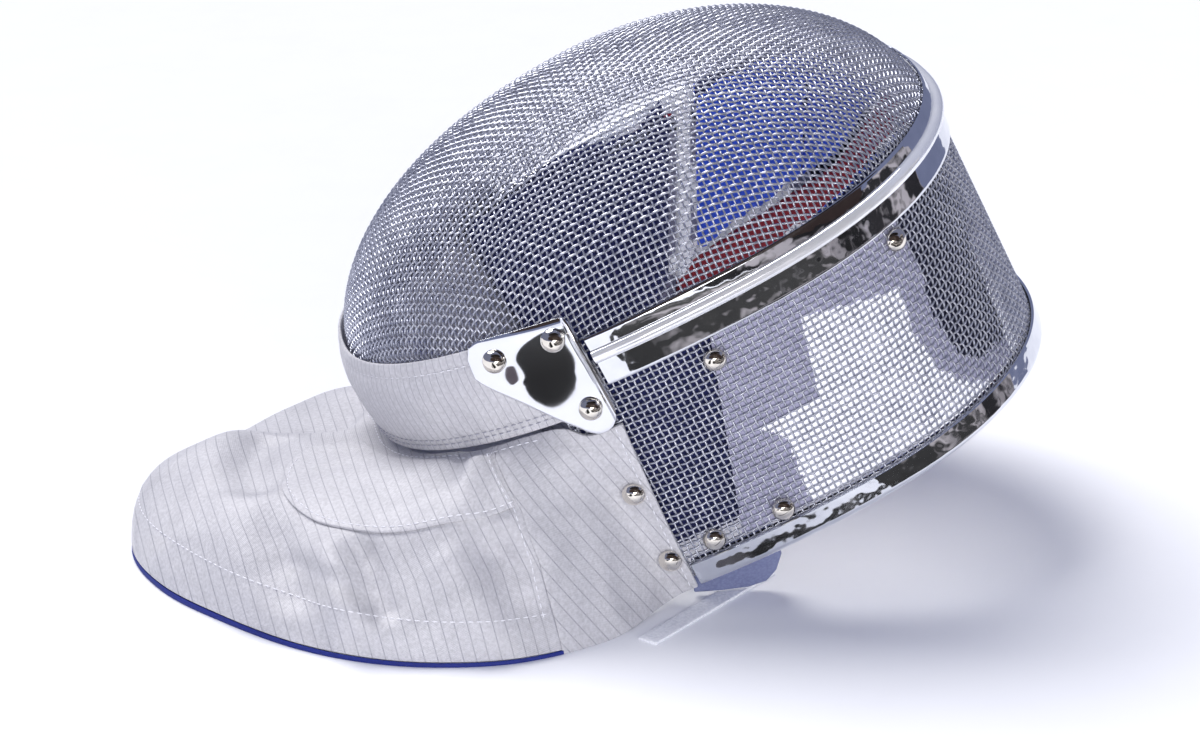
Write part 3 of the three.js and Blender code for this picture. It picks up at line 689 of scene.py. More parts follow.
def rivet_tree():
    """One rivet head on every point, standing along the point's axis."""
    tree, given = new_tree("rivet_heads", ("Head", "Object"), ("Head Size", "Vector"))
    head = put(tree, "ObjectInfo", {"Object": given["Head"]})["Geometry"]
    axis = put(tree, "InputNamedAttribute", {"Name": "axis"}, data_type="FLOAT_VECTOR")["Attribute"]
    turn = put(tree, "FunctionNodeAlignRotationToVector", {"Vector": axis}, axis="Z")["Rotation"]
    heads = put(tree, "InstanceOnPoints",
                {"Points": given["Path"], "Instance": head, "Rotation": turn, "Scale": given["Head Size"]})
    return close_tree(tree, given, heads["Instances"])


def path_mesh(name, lines):
    """Lines of points as one mesh of edges."""
    counts = np.array([len(line) for line in lines])
    starts = np.r_[0, np.cumsum(counts)[:-1]]
    edges = np.concatenate([start + np.stack([np.arange(n - 1), np.arange(1, n)], 1)
                            for start, n in zip(starts, counts)])
    mesh = bpy.data.meshes.new(name)
    mesh.from_pydata(np.concatenate(lines).tolist(), edges.tolist(), [])
    return mesh


def dome_side(x, y, z):
    """Below 0 inside the dome and above 0 outside it."""
    h = max(z / DOME_RISE, 0.0)
    shrink = max(1 - min(h, 1) ** DOME_POWER, 1e-6) ** (1 / DOME_POWER)
    x = x - DOME_LEAN * h
    widened = 1 + CROWN_WIDENING * min(max(x / (HALF_LENGTH * shrink), -1), 1)
    oval = abs(x / HALF_LENGTH) ** LOOP_POWER + abs(y / (HALF_WIDTH * widened)) ** LOOP_POWER
    return oval ** (DOME_POWER / LOOP_POWER) + h ** DOME_POWER - 1


def dome_slope(point):
    step = 1e-3
    here = dome_side(*point)
    return here, np.array([(dome_side(*(point + step * way)) - here) / step for way in np.eye(3)])


def settle(point, rule):
    """The dome's point near this one that keeps two more rules, each a miss and its slope, or None."""
    for _ in range(12):
        here, slope = dome_slope(point)
        (miss_a, row_a), (miss_b, row_b) = rule(point)
        rows = np.array([row_a, row_b, slope])
        if abs(np.linalg.det(rows)) < 1e-9:
            return None
        move = np.linalg.solve(rows, [miss_a, miss_b, here])
        point = point - np.clip(move, -1, 1)
        if abs(move).max() < 1e-4:
            return point
    return None


def one_pitch(point, other):
    away = point - other
    return away @ away - WIRE_PITCH ** 2, 2 * away


def walk(start, turn):
    """Points one pitch apart down the dome, in the upright plane that runs this way from the start."""
    across = np.array([-math.sin(turn), math.cos(turn), 0])
    step = np.array([math.cos(turn), math.sin(turn), 0]) * WIRE_PITCH
    line = [start]
    while line[-1][2] > ARM_FOOT:
        last = line[-1]
        line.append(settle(last + step, lambda p: (one_pitch(p, last), ((p - start) @ across, across))))
        step = line[-1] - last
    return np.array(line)


def pressed_net():
    """Crossings of wire cloth pressed over the dome: every cell keeps its sides and shears to fit."""
    low, high = 0.0, DOME_RISE
    for _ in range(40):
        middle = (low + high) / 2
        low, high = (middle, high) if dome_side(NET_START_X, 0, middle) < 0 else (low, middle)
    start = np.array([NET_START_X, 0, low])
    arms = [walk(start, NET_TURN + quarter * math.pi / 2) for quarter in range(4)]
    reach = max(len(arm) for arm in arms) + SPARE_CELLS
    whole = np.full((2 * reach + 1, 2 * reach + 1, 3), np.nan)
    ways = np.array([(1, 0), (0, 1), (-1, 0), (0, -1)])
    for quarter in range(4):
        first, second = arms[quarter], arms[(quarter + 1) % 4]
        net = np.full((len(first) + SPARE_CELLS, len(second) + SPARE_CELLS, 3), np.nan)
        net[:len(first), 0] = first
        net[0, :len(second)] = second
        for i in range(1, net.shape[0]):
            for j in range(1, net.shape[1]):
                a, b, c = net[i, j - 1], net[i - 1, j], net[i - 1, j - 1]
                if np.isnan(a[0] + b[0]) or max(a[2], b[2]) < CELL_FOOT:
                    continue
                if abs((a - c) @ (b - c)) < CELL_SHEAR * WIRE_PITCH ** 2:
                    found = settle(a + b - c, lambda p: (one_pitch(p, a), one_pitch(p, b)))
                    if found is not None and np.linalg.norm(found - c) > CELL_LEAST:
                        net[i, j] = found
        i, j = np.indices(net.shape[:2])
        place = reach + i[..., None] * ways[quarter] + j[..., None] * ways[(quarter + 1) % 4]
        whole[place[..., 0], place[..., 1]] = net
    whole[whole[..., 2] < WIRES_FOOT] = np.nan
    return whole


def woven_lines(net, normals, over):
    """Wires along the net's first index, each over and under its neighbours in turn, in metres."""
    i, j = np.indices(net.shape[:2])
    lifted = net + normals * (over * WIRE_RADIUS * np.where((i + j) % 2, 1, -1))[..., None]
    lines = []
    for column in range(net.shape[1]):
        good = ~np.isnan(net[:, column, 0])
        edges = np.flatnonzero(np.diff(np.r_[0, good.astype(int), 0]))
        for start, end in zip(edges[::2], edges[1::2]):
            if end - start > 2:
                run = np.empty((2 * (end - start) - 1, 3))
                run[::2] = lifted[start:end, column]
                flat = net[start:end, column]
                run[1::2] = (flat[1:] + flat[:-1]) / 2
                lines.append(run)
    return lines


def weave(name, net, normals, place, node, wire):
    """Both families of wires of one wall."""
    tree = bpy.data.node_groups.get("woven_wires") or wire_tree()
    turned = net.swapaxes(0, 1), normals.swapaxes(0, 1)
    for word, lines in (("warp", woven_lines(net, normals, 1)), ("weft", woven_lines(*turned, -1))):
        path = path_mesh(f"{name}_{word}", [place(line) for line in lines])
        mesh = grown(f"{name}_{word}", tree, path, Wire_Radius=WIRE_RADIUS * MM, Wire_Sides=4, Finish=wire)
        piece(f"{name}_{word}", mesh, wire, "wire_mesh", node)


def face_wires():
    net = pressed_net()
    normals = np.full(net.shape, np.nan)
    for i, j in np.argwhere(~np.isnan(net[..., 0])):
        normals[i, j] = dome_slope(net[i, j])[1]
    weave("face_wires", net, unit(normals), lie, "face_mesh", WIRE)


def skirt_wires():
    start = angle_at(SKIRT_FRONT_X, -1)
    fine = np.linspace(start, -start, 2001)
    length = along_line(wall_point(fine, 0 * fine, 0 * fine))[-1]
    angles = stations(start, -start, round(length / WIRE_PITCH))
    heights = np.arange(SKIRT_WIRES["top"], SKIRT_WIRES["foot"], -SKIRT_PITCH)
    across, down = np.meshgrid(angles, heights, indexing="ij")
    net = wall_point(across, down, 0 * down)
    along = wall_point(across + STEP, down, 0 * down) - wall_point(across - STEP, down, 0 * down)
    normals = unit(np.cross(along, (0, 0, 1)))
    weave("side_wires", net, normals, lie, "side_mesh", SKIRT_WIRE)


def swept(name, start_x, count, ring):
    """A metal profile of (z, off) points carried round the crown between the two places at this x."""
    z, off = np.array(ring).T
    start = angle_at(start_x, -1)
    mesh = tube_mesh(name, on_wall(stations(start, -start, count)[:, None], z, off))
    mesh.set_sharp_from_angle(angle=math.radians(50))
    return mesh


def seam_trim():
    turn = np.linspace(0, math.pi, 15)
    bead = np.stack([BEAD_RADIUS * np.cos(turn), TRIM_OUT + BEAD_RADIUS * np.sin(turn)], 1)
    upper = [(z, TRIM_OUT) for z in np.linspace(TRIM_HIGH - 0.4, BEAD_RADIUS + 0.3, 6)]
    lower = [(z, TRIM_OUT) for z in np.linspace(-BEAD_RADIUS - 0.3, TRIM_LOW + 0.4, 10)]
    inner = [(z, TRIM_IN) for z in np.linspace(0, TRIM_HIGH - 0.2, 6)]
    ring = [(TRIM_LOW + 0.2, TRIM_IN), (-6, TRIM_IN), *inner, (TRIM_HIGH, TRIM_OUT - 0.4), *upper,
            *bead, *lower, (TRIM_LOW, TRIM_OUT - 0.4)]
    mesh = swept("seam_trim_strip", TRIM_START_X, 180, ring[::-1])
    piece("seam_trim_strip", mesh, STRIP, "chromed_steel", "seam_trim")
    # The bead's faces take the chrome's painted-highlight copy.
    mesh.materials.append(BEAD)
    first = 1 + len(lower)
    bead_faces = range(first, first + len(bead) - 1)
    for face in mesh.polygons[:-2]:
        face.material_index = int(face.index % len(ring) in bead_faces)


def back_rim():
    edge, lip = -SKIRT_DEPTH, RIM_WIDTH - SKIRT_DEPTH
    turn = np.linspace(0, math.pi, 9)
    outer = [(edge + TRIM_OUT - TRIM_OUT * math.sin(t), TRIM_OUT * math.cos(t)) for t in turn]
    inner = [(edge + TRIM_OUT - TRIM_IN * math.sin(t), -TRIM_IN * math.cos(t)) for t in turn]
    flat = np.linspace(lip - 0.4, edge + TRIM_OUT + 0.4, 7)
    ring = [(lip, TRIM_OUT - 0.5), *((z, TRIM_OUT) for z in flat), *outer,
            *((z, -TRIM_OUT) for z in flat[::-1]), (lip, 0.5 - TRIM_OUT), (lip, -TRIM_IN), *inner,
            (lip, TRIM_IN)]
    mesh = swept("back_rim_channel", RIM_FRONT_X, 170, ring)
    piece("back_rim_channel", mesh, STRIP, "chromed_steel", "back_rim")


def corner_plate(word, side):
    """Pressed plate: round corners, and a rear edge folded back on itself."""
    xs = np.unique(np.concatenate([np.linspace(*cut) for cut in PLATE_CUTS]))
    low, high = (np.interp(xs, PLATE_OUTLINE[:, 0], edge)[:, None] for edge in PLATE_OUTLINE.T[1:])
    heights = low + (high - low) * np.linspace(0, 1, 25)
    fold = np.clip((xs - PLATE_FOLD["from"]) / (xs[-1] - PLATE_FOLD["from"]), 0, 1)
    fold = PLATE_FOLD["rise"] * np.sqrt(1 - (1 - 2 * fold) ** 2)
    points = on_wall(angle_at(xs, side)[:, None], heights, PLATE_OUT + fold[:, None])[::-side]
    mesh = sheet_mesh("plate", points, 1.0, 0.35)
    piece(f"corner_plate_{word}_pressed", mesh, CHROME, "chromed_steel", f"corner_plate_{word}")


def rivets():
    """All rivet heads: a low dome with a small flat lip."""
    turn = np.linspace(0.3, math.pi / 2, 9)
    profile = np.r_[[(0.93, 0), (1, 0.1), (1, 0.2)], np.stack([np.cos(turn) * 1.02, np.sin(turn)], 1)[:-1]]
    spin = np.linspace(0, math.tau, RIVET_SIDES, endpoint=False)
    points = np.stack([np.outer(np.cos(spin), profile[:, 0]), np.outer(np.sin(spin), profile[:, 0]),
                       np.tile(profile[:, 1], (RIVET_SIDES, 1))], -1)
    size = len(profile)
    starts = [a * size for a in range(RIVET_SIDES)]
    beside = list(zip(starts, starts[1:] + starts[:1]))
    faces = [[a + k, b + k, b + k + 1, a + k + 1] for a, b in beside for k in range(size - 1)]
    faces += [[a + size - 1, b + size - 1, RIVET_SIDES * size] for a, b in beside]
    faces.append(starts[::-1])
    head = linked("rivet_head", plain_mesh("head", np.r_[points.reshape(-1, 3), [(0, 0, 1)]], faces))
    seats, nodes = [], []
    for word, side in SIDES:
        for x, z, seat in WALL_RIVETS.values():
            seats.append(on_wall(angle_at(x, side), z, seat + GAP + np.arange(2)))
        for u, v in CLOTH_RIVETS.values():
            seats.append(on_bib(u if side < 0 else 1 - u, v, CLOTH_THICK + 2 * GAP + np.arange(2)))
        nodes += [f"rivet_{name}_{word}" for name in (*WALL_RIVETS, *CLOTH_RIVETS)]
    bases, tips = np.swapaxes(seats, 0, 1)
    path = bpy.data.meshes.new("rivet_places")
    path.from_pydata(bases.tolist(), [], [])
    axis = path.attributes.new("axis", "FLOAT_VECTOR", "POINT")
    axis.data.foreach_set("vector", unit(tips - bases).ravel())
    mesh = grown("rivets", rivet_tree(), path, Head=head, Finish=NICKEL,
                 Head_Size=(RIVET_RADIUS * MM, RIVET_RADIUS * MM, RIVET_RISE * MM))
    bpy.data.objects.remove(head)
    piece("rivet_heads", mesh, NICKEL, "nickel_rivet", *nodes)


def collar():
    """Padded band round the chin, sewn down along its top and twice along its foot."""
    start = angle_at(COLLAR_END_X, -1)
    angles = stations(start, -math.tau - start, 170)
    share = np.linspace(0, 1, 39)
    loop = wall_point(angles, 0 * angles, 0 * angles)
    foot = COLLAR_LOW - COLLAR_DROP["most"] * np.clip(loop[:, 1] / COLLAR_DROP["over"], 0, 1)[:, None]
    heights = foot + (COLLAR_HIGH - foot) * share
    clear = np.clip((COLLAR_PUFF["from"] - loop[:, 0]) / COLLAR_PUFF["over"], 0, 1)
    puff = COLLAR_PUFF["rise"] * np.outer(clear, np.sin(math.pi * share))
    for row in (COLLAR_TOP_ROW, *COLLAR_FOOT_ROWS):
        puff = puff - STITCH_GROOVE["depth"] * np.exp(-((heights - row) / STITCH_GROOVE["width"]) ** 2)
    points = on_wall(angles[:, None], heights, CLOTH_OUT + puff)[::-1]
    closer = PIN_PITCH / COLLAR_PINS
    uv = np.stack(np.broadcast_arrays(along_line(loop)[::-1, None] * closer, heights * closer), -1) * MM
    mesh = sheet_mesh("collar", points, CLOTH_THICK - 0.5, 0.6, uv)
    made = piece("collar_band", mesh, CLOTH, "bib_cloth", "collar")
    light = [on_wall(angles, COLLAR_TOP_ROW, CLOTH_OUT + STITCH_PROUD["collar"])]
    low = CLOTH_OUT + COLLAR_PUFF["rise"] * clear * 0.35
    return light, [on_wall(angles, row, low) for row in COLLAR_FOOT_ROWS]


def across_pins(points, lean, hem_lean):
    """How far each point lies across the pins."""
    height = points[..., 2]
    shift = lean * np.maximum(height, PIN_BEND) + hem_lean * np.minimum(height, PIN_BEND)
    return (points[..., 0] + shift) / math.hypot(1, lean)


def bib_panel(name, start, end, count, pins, low, *nodes):
    """A panel of the bib between two edges that run down it, with its pins."""
    v = np.linspace(0, low, 57)
    share = np.linspace(0, 1, count + 1)[:, None]
    u = start(v)[None] + (end(v) - start(v))[None] * share
    points = on_cloth(u, np.broadcast_to(v, u.shape), CLOTH_THICK)
    uv = np.stack([across_pins(points, *pins), np.broadcast_to(v * BIB_DOWN * MM, u.shape)], -1)
    return piece(name, sheet_mesh(name, points, CLOTH_THICK, 0.3, uv), CLOTH, "bib_cloth", *nodes)


def throat_flap():
    share = np.linspace(0, 1, 33)
    half = np.linspace(0, 1, 121)
    low = np.interp(FLAP_EDGE[0, 0] + (FLAP_EDGE[-1, 0] - FLAP_EDGE[0, 0]) * half, *FLAP_EDGE.T)
    low = np.convolve(np.r_[[low[0]] * 3, low, [low[-1]] * 3], np.ones(7) / 7, "valid")
    v = FLAP_TOP + (low[:, None] - FLAP_TOP) * share
    start = seam_at(v) + FLAP_GAP
    u = start + (FLAP_EDGE[-1, 0] - start) * half[:, None]
    points = on_cloth(u, v, FLAP_OFF + FLAP_THICK)
    uv = np.stack([across_pins(points, *FRONT_LEAN), v * BIB_DOWN * MM], -1)
    mesh = sheet_mesh("throat_flap_cloth", points, FLAP_THICK, 0.4, uv)
    made = piece("throat_flap_cloth", mesh, CLOTH, "bib_cloth", "throat_flap")
    kept = u[:, -1] < FLAP_ROW["to"]
    proud = FLAP_OFF + FLAP_THICK + STITCH_PROUD["flap"]
    rim = on_cloth(u[kept, -1], low[kept] - FLAP_ROW["off_edge"], proud)
    side = on_cloth(u[0] + FLAP_ROW["off_side"], v[0], proud)
    return made, [rim[2:-2], side[1:-1]]


def hem_binding():
    v = np.linspace(BINDING_START, 1, 7)
    u = np.linspace(seam_at(1), 1 - seam_at(1), 241)[:, None]
    bulge = 0.35 * np.sin(np.linspace(0, math.pi, 7))
    points = on_bib(u, v[None], CLOTH_THICK + bulge)
    mesh = sheet_mesh("hem_tape", points, CLOTH_THICK, 0.4)
    return piece("hem_tape", mesh, HEM, "hem_blue", "hem_binding")


def bib():
    """The whole bib, its seams and its stitches."""
    front = bib_panel("bib_front_panel", lambda v: seam_at(v) + SEAM_GAP, lambda v: 1 - seam_at(v) - SEAM_GAP,
                      190, FRONT_LEAN, BINDING_START - HEM_GAP, "bib_front")
    sides = [
        bib_panel("bib_side_left_panel", lambda v: 0 * v, seam_at, 56, SIDE_LEAN, 1, "bib_side_left"),
        bib_panel("bib_side_right_panel", lambda v: 1 - seam_at(v), lambda v: 0 * v + 1, 56, SIDE_LEAN, 1,
                  "bib_side_right"),
    ]
    flap, flap_lines = throat_flap()
    hem = hem_binding()
    light, dark = collar()
    proud = CLOTH_THICK + STITCH_PROUD["bib"]
    v = np.linspace(*SEAM_RUN, 80)
    seam = v[v < HEM_ROW]
    for _, side in SIDES:
        for u, down in ((seam_at(seam) + SEAM_ROW, seam), (0 * v + REAR_ROW, v)):
            light.append(on_cloth(u if side < 0 else 1 - u, down, proud))
    for row, start in ((HEM_ROW, seam_at(HEM_ROW) + SEAM_ROW), (TOP_ROW["down"], TOP_ROW["from"])):
        u = np.linspace(start, 1 - start, 300)
        light.append(on_cloth(u, 0 * u + row, proud))
    tree = stitch_tree()
    threads = []
    for name, lines, material in (("white_stitches", light + flap_lines, THREAD),
                                  ("graphite_stitches", dark, DARK_THREAD)):
        mesh = grown(name, tree, path_mesh(name, lines), Stitch_Spacing=STITCH_SPACING * MM,
                     Stitch_Size=[size * MM for size in STITCH_SIZE], Finish=material)
        threads.append(piece(name, mesh, material, "bib_cloth"))
    return front, sides, flap, hem, threads


def pad_mesh(name, side, xs, rows, inset=0.0):
    """A closed panel of the lining over these places along it."""
    low, high = edge_low(xs) + inset, edge_high(xs) - inset
    z = low[:, None] + (high - low)[:, None] * np.linspace(0, 1, rows)
    outer, inner = (on_lining(side, xs[:, None], z, off) for off in (PAD_OUT - inset, PAD_IN + inset))
    return tube_mesh(name, np.concatenate([outer, inner[:, ::-1]], 1))


def inside(x, z, outline):
    """Which places lie inside an outline."""
    odd = np.zeros(x.shape, bool)
    for (ax, az), (bx, bz) in zip(outline, outline[1:] + outline[:1]):
        if az != bz:
            odd ^= ((az > z) != (bz > z)) & (x < ax + (z - az) * (bx - ax) / (bz - az))
    return odd


def backing(word, side):
    """Pale knit between the pads and the wires, with a white patch that glows with painted light and a nearly
    black end that is painted shade.
    """
    share, down = np.meshgrid(np.linspace(0, 1, 97), np.linspace(0, 1, 65), indexing="ij")
    start, end = (BACKING[key][0] + (BACKING[key][1] - BACKING[key][0]) * down for key in ("from", "to"))
    x = start + (end - start) * share
    z = BACKING["top"] + (BACKING["foot"] - BACKING["top"]) * down
    points = on_wall(angle_at(x, side), z, BACKING["out"])
    faces = grid_faces(*x.shape)
    if side > 0:
        faces = faces[:, ::-1]
    mesh = plain_mesh(f"backing_{word}", points, faces)
    marks = mesh.attributes.new("patch", "INT", "FACE")
    middle = [a.ravel()[faces].mean(1) for a in (x, z)]
    marks.data.foreach_set("value", inside(*middle, WHITE_PATCH) + 2 * inside(*middle, PAINTED_SHADE_END))
    mesh = thick(mesh, BACKING["out"] - BACKING["in"], 0.2)
    made = piece(f"pad_backing_{word}_knit", mesh, LILAC, "pad_white", f"pad_backing_{word}")
    # The patch gets the white knit with its painted glow, the end the nearly black knit that is painted
    # shade.
    for cloth in (WHITE, INK):
        mesh.materials.append(cloth)
    patches = np.zeros(len(mesh.polygons), np.int32)
    mesh.attributes["patch"].data.foreach_get("value", patches)
    mesh.polygons.foreach_set("material_index", patches)


def loop_x(angle):
    """Local x at an angle on the loop's crown half."""
    return HALF_LENGTH * np.cos(angle) ** (2 / LOOP_POWER)


def crown_mesh():
    end = float(angle_at(CROWN_FROM - CROWN_LAP, 1))
    angles = stations(-end, end, 40)
    return pad_mesh("crown", np.where(angles < 0, -1, 1)[:, None], loop_x(angles), 17, PAD_INSET)


def places(mesh):
    return np.array([vertex.co for vertex in mesh.vertices])


def outward(mesh):
    """Faces turned to point out of a closed piece."""
    mesh.calc_loop_triangles()
    corners = np.array([triangle.vertices for triangle in mesh.loop_triangles])
    a, b, c = places(mesh)[corners].swapaxes(0, 1)
    if (a * np.cross(b, c)).sum() < 0:
        mesh.flip_normals()
    return mesh


def puffed(meshes):
    """Foam pads after their filling has pushed the covers out, none further than the cap."""
    covers = []
    for mesh in meshes:
        cut = worked(outward(mesh), ("REMESH", {"mode": "VOXEL", "voxel_size": FILLING["voxel"] * MM}))
        covers.append(linked(mesh.name, cut))
    for cover in covers:
        cloth = cover.modifiers.new("cover", "CLOTH").settings
        cloth.use_pressure = True
        cloth.uniform_pressure_force = FILLING["pressure"]
        cloth.effector_weights.gravity = 0
    for number in range(1, FILLING["frames"] + 1):
        scene.frame_set(number)
    graph = bpy.context.evaluated_depsgraph_get()
    made = []
    for cover in covers:
        start = places(cover.data)
        move = places(cover.evaluated_get(graph).data) - start
        size = np.linalg.norm(move, axis=1, keepdims=True)
        start = start + move * np.minimum(1, SWELL_CAP * MM / np.maximum(size, 1e-9))
        cover.modifiers.clear()
        cover.data.vertices.foreach_set("co", start.ravel())
        mesh = worked(cover.data, ("SUBSURF", {"levels": 1, "render_levels": 1}))
        mesh.shade_smooth()
        made.append(mesh)
        bpy.data.objects.remove(cover)
    scene.frame_set(1)
    return made


def shade_wire_sides(mesh, shade_cloth):
    """Gives the faces of a pad that look at the wires a navy cloth, darkened as painted shade between the pad
    and the wires.
    """
    mesh.materials.append(shade_cloth)
    cos, sin = math.cos(RECLINE), math.sin(RECLINE)
    for face in mesh.polygons:
        x, y, z = face.center
        x, z = x - LOOP_X * MM, z - LOOP_HEIGHT * MM
        way = np.array([(x * cos + z * sin) / HALF_LENGTH ** 2, y / HALF_WIDTH ** 2])
        out = np.array([face.normal.x * cos + face.normal.z * sin, face.normal.y])
        face.material_index = int(unit(way) @ out > FACING)


def binding(word, side):
    """Red tape under the pads, round to the crown."""
    crown = loop_x(stations(float(angle_at(CROWN_FROM, 1)), STEP, 30))
    xs = np.r_[np.linspace(STRIPE[0], CROWN_FROM - 0.6, 41), crown]
    middle = edge_low(xs) - 3 * GAP - BINDING_WIDTH / 2
    turn = np.linspace(0, math.tau, 20, endpoint=False)
    z = middle[:, None] + BINDING_WIDTH / 2 * power(np.cos(turn), 0.5)
    off = (PAD_IN + PAD_OUT) / 2 + ((PAD_OUT - PAD_IN) / 2 - 1) * power(np.sin(turn), 0.5)
    tape = outward(tube_mesh(f"binding_{word}", on_lining(side, xs[:, None], z, off)))
    made = piece(f"pad_binding_{word}_tape", tape, RED, "binding_red", f"pad_binding_{word}")
    # The tape's faces toward the wires get navy as painted shade.
    shade_wire_sides(tape, NAVY)


def lining():
    """Foam pads, the pale strips between them, their backing and their bindings."""
    cuts = [(crown_mesh(), "crown_pad", BLUE, "pad_blue")]
    for word, side in SIDES:
        for name, ends, material, slot in (("cheek_pad", CHEEK, NAVY, "pad_navy"),
                                           ("temple_pad", TEMPLE, BLUE, "pad_blue")):
            mesh = pad_mesh(f"{name}_{word}", side, np.linspace(*ends, 25), 25, PAD_INSET)
            cuts.append((mesh, f"{name}_{word}", material, slot))
    for mesh, (_, node, material, slot) in zip(puffed([cut[0] for cut in cuts]), cuts):
        piece(node + "_foam", mesh, material, slot, node)
        # The blue pads' faces toward the wires get navy as painted shade.
        if material == BLUE:
            shade_wire_sides(mesh, NAVY)
    for word, side in SIDES:
        strip = outward(pad_mesh(f"stripe_{word}", side, np.linspace(*STRIPE, 9), 25))
        # The white stripe's knit glows with painted light.
        made = piece(f"pad_stripe_{word}_knit", strip, WHITE, "pad_white", f"pad_stripe_{word}")
        backing(word, side)
        binding(word, side)


def straps(word, side):
    """The strap tab inside the rim and the hook tape on the floor under it."""
    share = np.linspace(0, 1, 49)
    top = on_wall(angle_at(TAB_TOP["from"] + (TAB_TOP["to"] - TAB_TOP["from"]) * share, side),
                  TAB_TOP["z"], TAB_TOP["off"])
    along, across, height = (np.interp(share, TAB_FOOT[:, 0], row) for row in TAB_FOOT.T[1:])
    foot = np.stack([along + LOOP_X, side * across, height], 1) * MM
    down = np.linspace(0, 1, 17)[None, :, None]
    points = (top[:, None] + (foot - top)[:, None] * down)[::side]
    mesh = sheet_mesh("tab", points, TAB_THICK, 0.4)
    tab = piece(f"strap_tab_{word}_webbing", mesh, WEBBING, "strap_cloth", f"strap_tab_{word}")
    front, rear = (np.array([x + LOOP_X, side * y, TAPE["thick"]]) for x, y in (TAPE["front"], TAPE["rear"]))
    way = unit(rear - front)
    beside = np.cross((0, 0, 1), way) * TAPE["width"] / 2
    runs = np.linspace(0, 1, 41)[:, None, None]
    wide = np.linspace(-1, 1, 7)[None, :, None]
    points = (front + (rear - front) * runs + beside * wide) * MM
    mesh = sheet_mesh("tape", points, TAPE["thick"], 0.3)
    tape = piece(f"hook_tape_{word}_strip", mesh, HOOKS, "hook_tape", f"hook_tape_{word}")


def patchy(tree, dark):
    """A dark card with paler patches, as a room has."""
    spot = put(tree, "TexCoord")["Object"]
    room = put(tree, "TexNoise", cloud(spot, 150, 3.0))["Fac"]
    pale = put(tree, "MapRange", span(room, 0.5, 0.62, 0.0, 1.0))["Result"]
    tone = put(tree, "Mix", shades(pale, dark, "#a8a2a2"), data_type="RGBA")["Result"]
    return {"Base Color": tone}


def even(tree, colour):
    return {"Base Color": linear(colour)}


# Dark cards in front of the mask that only polished metal sees, as a photographer flags chrome.
# Corners without a height lie just over the floor. Each corner is cut twice by this share.
CARD_HEIGHT = 0.002
CARD_CUT = 0.2
DARK_CARDS = (
    ("plate_flag", even, "#020203", (
        (-0.1, -0.16), (-0.125, -0.2), (-0.25, -0.305), (-0.44, -0.53), (-0.8, -1.05), (-0.63, -1.1),
        (-0.25, -0.48), (-0.11, -0.29), (-0.065, -0.215), (-0.078, -0.17))),
    ("plate_shade", even, "#4a4248", (
        (-0.112, -0.158), (-0.15, -0.185), (-0.2, -0.235), (-0.19, -0.245), (-0.145, -0.205),
        (-0.118, -0.178))),
    ("trim_flag", patchy, "#050506", (
        (-0.035, -0.25), (-0.06, -0.33), (-0.11, -0.42), (-0.12, -0.8), (1.2, -0.8), (0.9, -0.2),
        (0.16, -0.2), (0.1, -0.25))),
    ("rim_flag", patchy, "#050506", (
        (0.03, -0.112), (0.07, -0.152), (0.13, -0.202), (0.2, -0.25), (0.2, -0.256), (0.128, -0.2075),
        (0.067, -0.157), (0.028, -0.116))),
    ("high_flag", even, "#2a1a15", (
        (-1.1, -0.8, 0.2), (0.9, -0.8, 0.2), (0.9, -0.8, 0.9), (-1.1, -0.8, 0.9))),
    ("over_flag", even, "#1c1412", (
        (-1.1, -0.8, 0.9), (0.9, -0.8, 0.9), (0.9, -0.4, 1.3), (-1.1, -0.4, 1.3))),
    ("right_flag", patchy, "#151318", (
        (1.0, -0.8, 0), (1.0, -0.05, 0), (1.0, -0.05, 0.65), (1.0, -0.8, 0.65))),
    ("wide_flag", patchy, "#0c0b0e", (
        (-0.12, -0.81, 0), (1.2, -0.81, 0), (1.2, -0.81, 0.6), (0.3, -0.81, 0.3), (-0.05, -0.81, 0.1))),
)
# Lamps: kind, place, the setting for its size, that size, and strength. All shine at the mask's middle.
LAMPS = (
    ("key", "SUN", (-0.6, 0.85, 1.6), "angle", 0.7, 3.25),
    ("front", "AREA", (0.0, -1.8, 0.45), "size", 1.2, 25),
)
LAMP_AIM = (0, 0, 0.1)
LAMP_COLOUR = (1.0, 0.985, 0.96)
# The camera as fitted to the photo: degrees round and up, and in pixels its focal length, the picture's
# width and middle, and where the loop's middle falls in it. Then its distance in metres.
CAMERA_TURN = math.radians(-12.177)
CAMERA_LIFT = math.radians(18.043)
FOCAL = 3250
PICTURE_WIDTH = 1200
PICTURE_MIDDLE = (600, 371)
LOOP_MIDDLE = (638.24, 227.76)
CAMERA_AWAY = 1.3
SENSOR = 36


def stand_up(name, data, place, aim):
    """Puts a lamp or the camera at its place, looking along aim."""
    made = linked(name, data)
    made.location = place
    made.rotation_euler = Vector(aim).to_track_quat("-Z", "Y").to_euler()
    return made


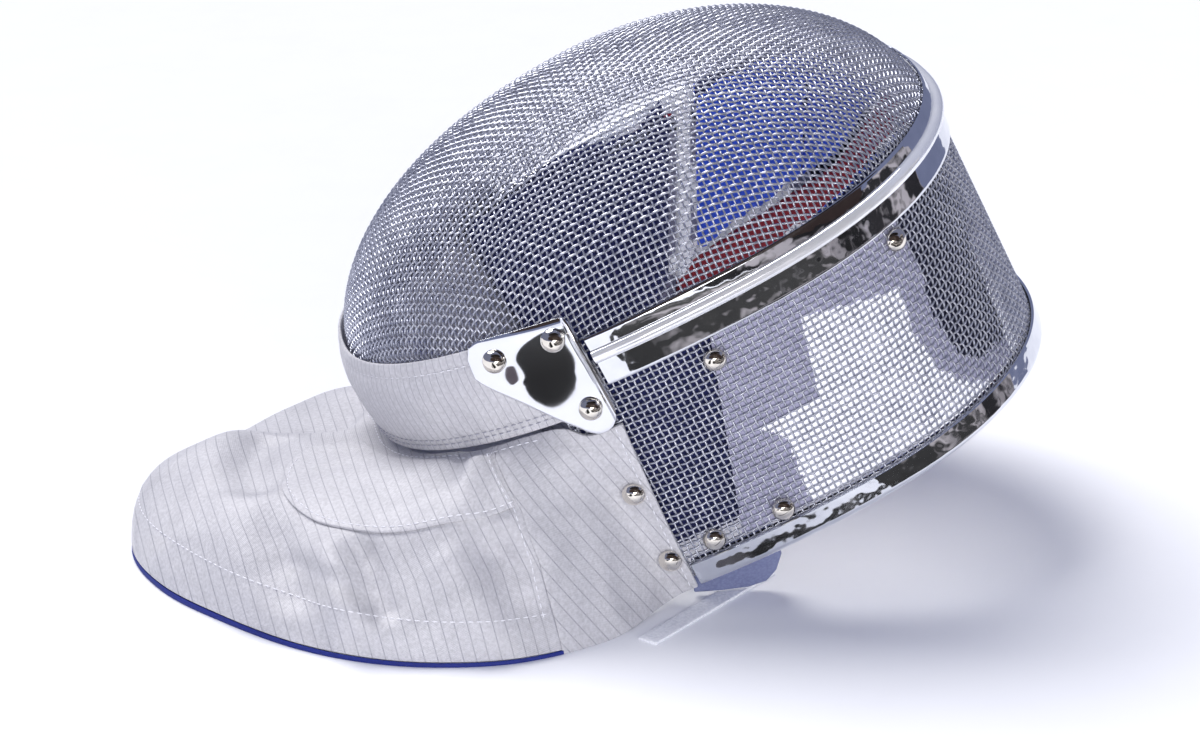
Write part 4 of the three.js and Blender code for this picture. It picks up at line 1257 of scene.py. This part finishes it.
def studio():
    """Pale floor, soft light, cards for the metal to mirror, and the camera."""
    bpy.ops.mesh.primitive_plane_add(size=9)
    floor = bpy.context.object
    floor.name = "floor"
    paper = finish("matt_white_paper", knit, "#f3f4f8", "#f6f7fa", 40, 0.01, Roughness=0.9)
    floor.data.materials.append(paper)
    world = bpy.data.worlds.new("studio")
    scene.world = world
    world.use_nodes = True
    tree = world.node_tree
    tree.nodes.clear()
    light = put(tree, "Background", {"Color": linear("#c6d0ff"), "Strength": 0.32})["Background"]
    put(tree, "OutputWorld", {"Surface": light})
    for name, kind, place, setting, size, strength in LAMPS:
        lamp = bpy.data.lights.new(name, kind)
        setattr(lamp, setting, size)
        lamp.energy = strength
        lamp.color = LAMP_COLOUR
        stand_up(name, lamp, place, Vector(LAMP_AIM) - Vector(place))
    for name, look, colour, corners in DARK_CARDS:
        corners = np.array([(*corner, CARD_HEIGHT)[:3] for corner in corners])
        for _ in range(2):
            after = np.roll(corners, -1, 0)
            ends = [(1 - cut) * corners + cut * after for cut in (CARD_CUT, 1 - CARD_CUT)]
            corners = np.stack(ends, 1).reshape(-1, 3)
        mesh = plain_mesh(name, corners, [list(range(len(corners)))])
        mesh.materials.append(finish(name, look, colour, Roughness=0.9))
        card = linked(name, mesh)
        for ray in ("camera", "diffuse", "shadow", "transmission"):
            setattr(card, "visible_" + ray, False)
    level = math.cos(CAMERA_LIFT)
    back = np.array([math.sin(CAMERA_TURN) * level, -math.cos(CAMERA_TURN) * level, math.sin(CAMERA_LIFT)])
    right = np.array([math.cos(CAMERA_TURN), math.sin(CAMERA_TURN), 0])
    over, under = np.subtract(PICTURE_MIDDLE, LOOP_MIDDLE)
    aim = -back * FOCAL + over * right - under * np.cross(back, right)
    eye = bpy.data.cameras.new("camera")
    eye.sensor_width = SENSOR
    eye.lens = FOCAL / PICTURE_WIDTH * SENSOR
    middle = np.array([LOOP_X, 0, LOOP_HEIGHT]) * MM
    scene.camera = stand_up("camera", eye, middle + back * CAMERA_AWAY, aim)
    scene.view_settings.view_transform = "Standard"


studio()
face_wires()
skirt_wires()
seam_trim()
back_rim()
rivets()
front, sides, flap, hem, threads = bib()
lining()
for word, side in SIDES:
    corner_plate(word, side)
    straps(word, side)
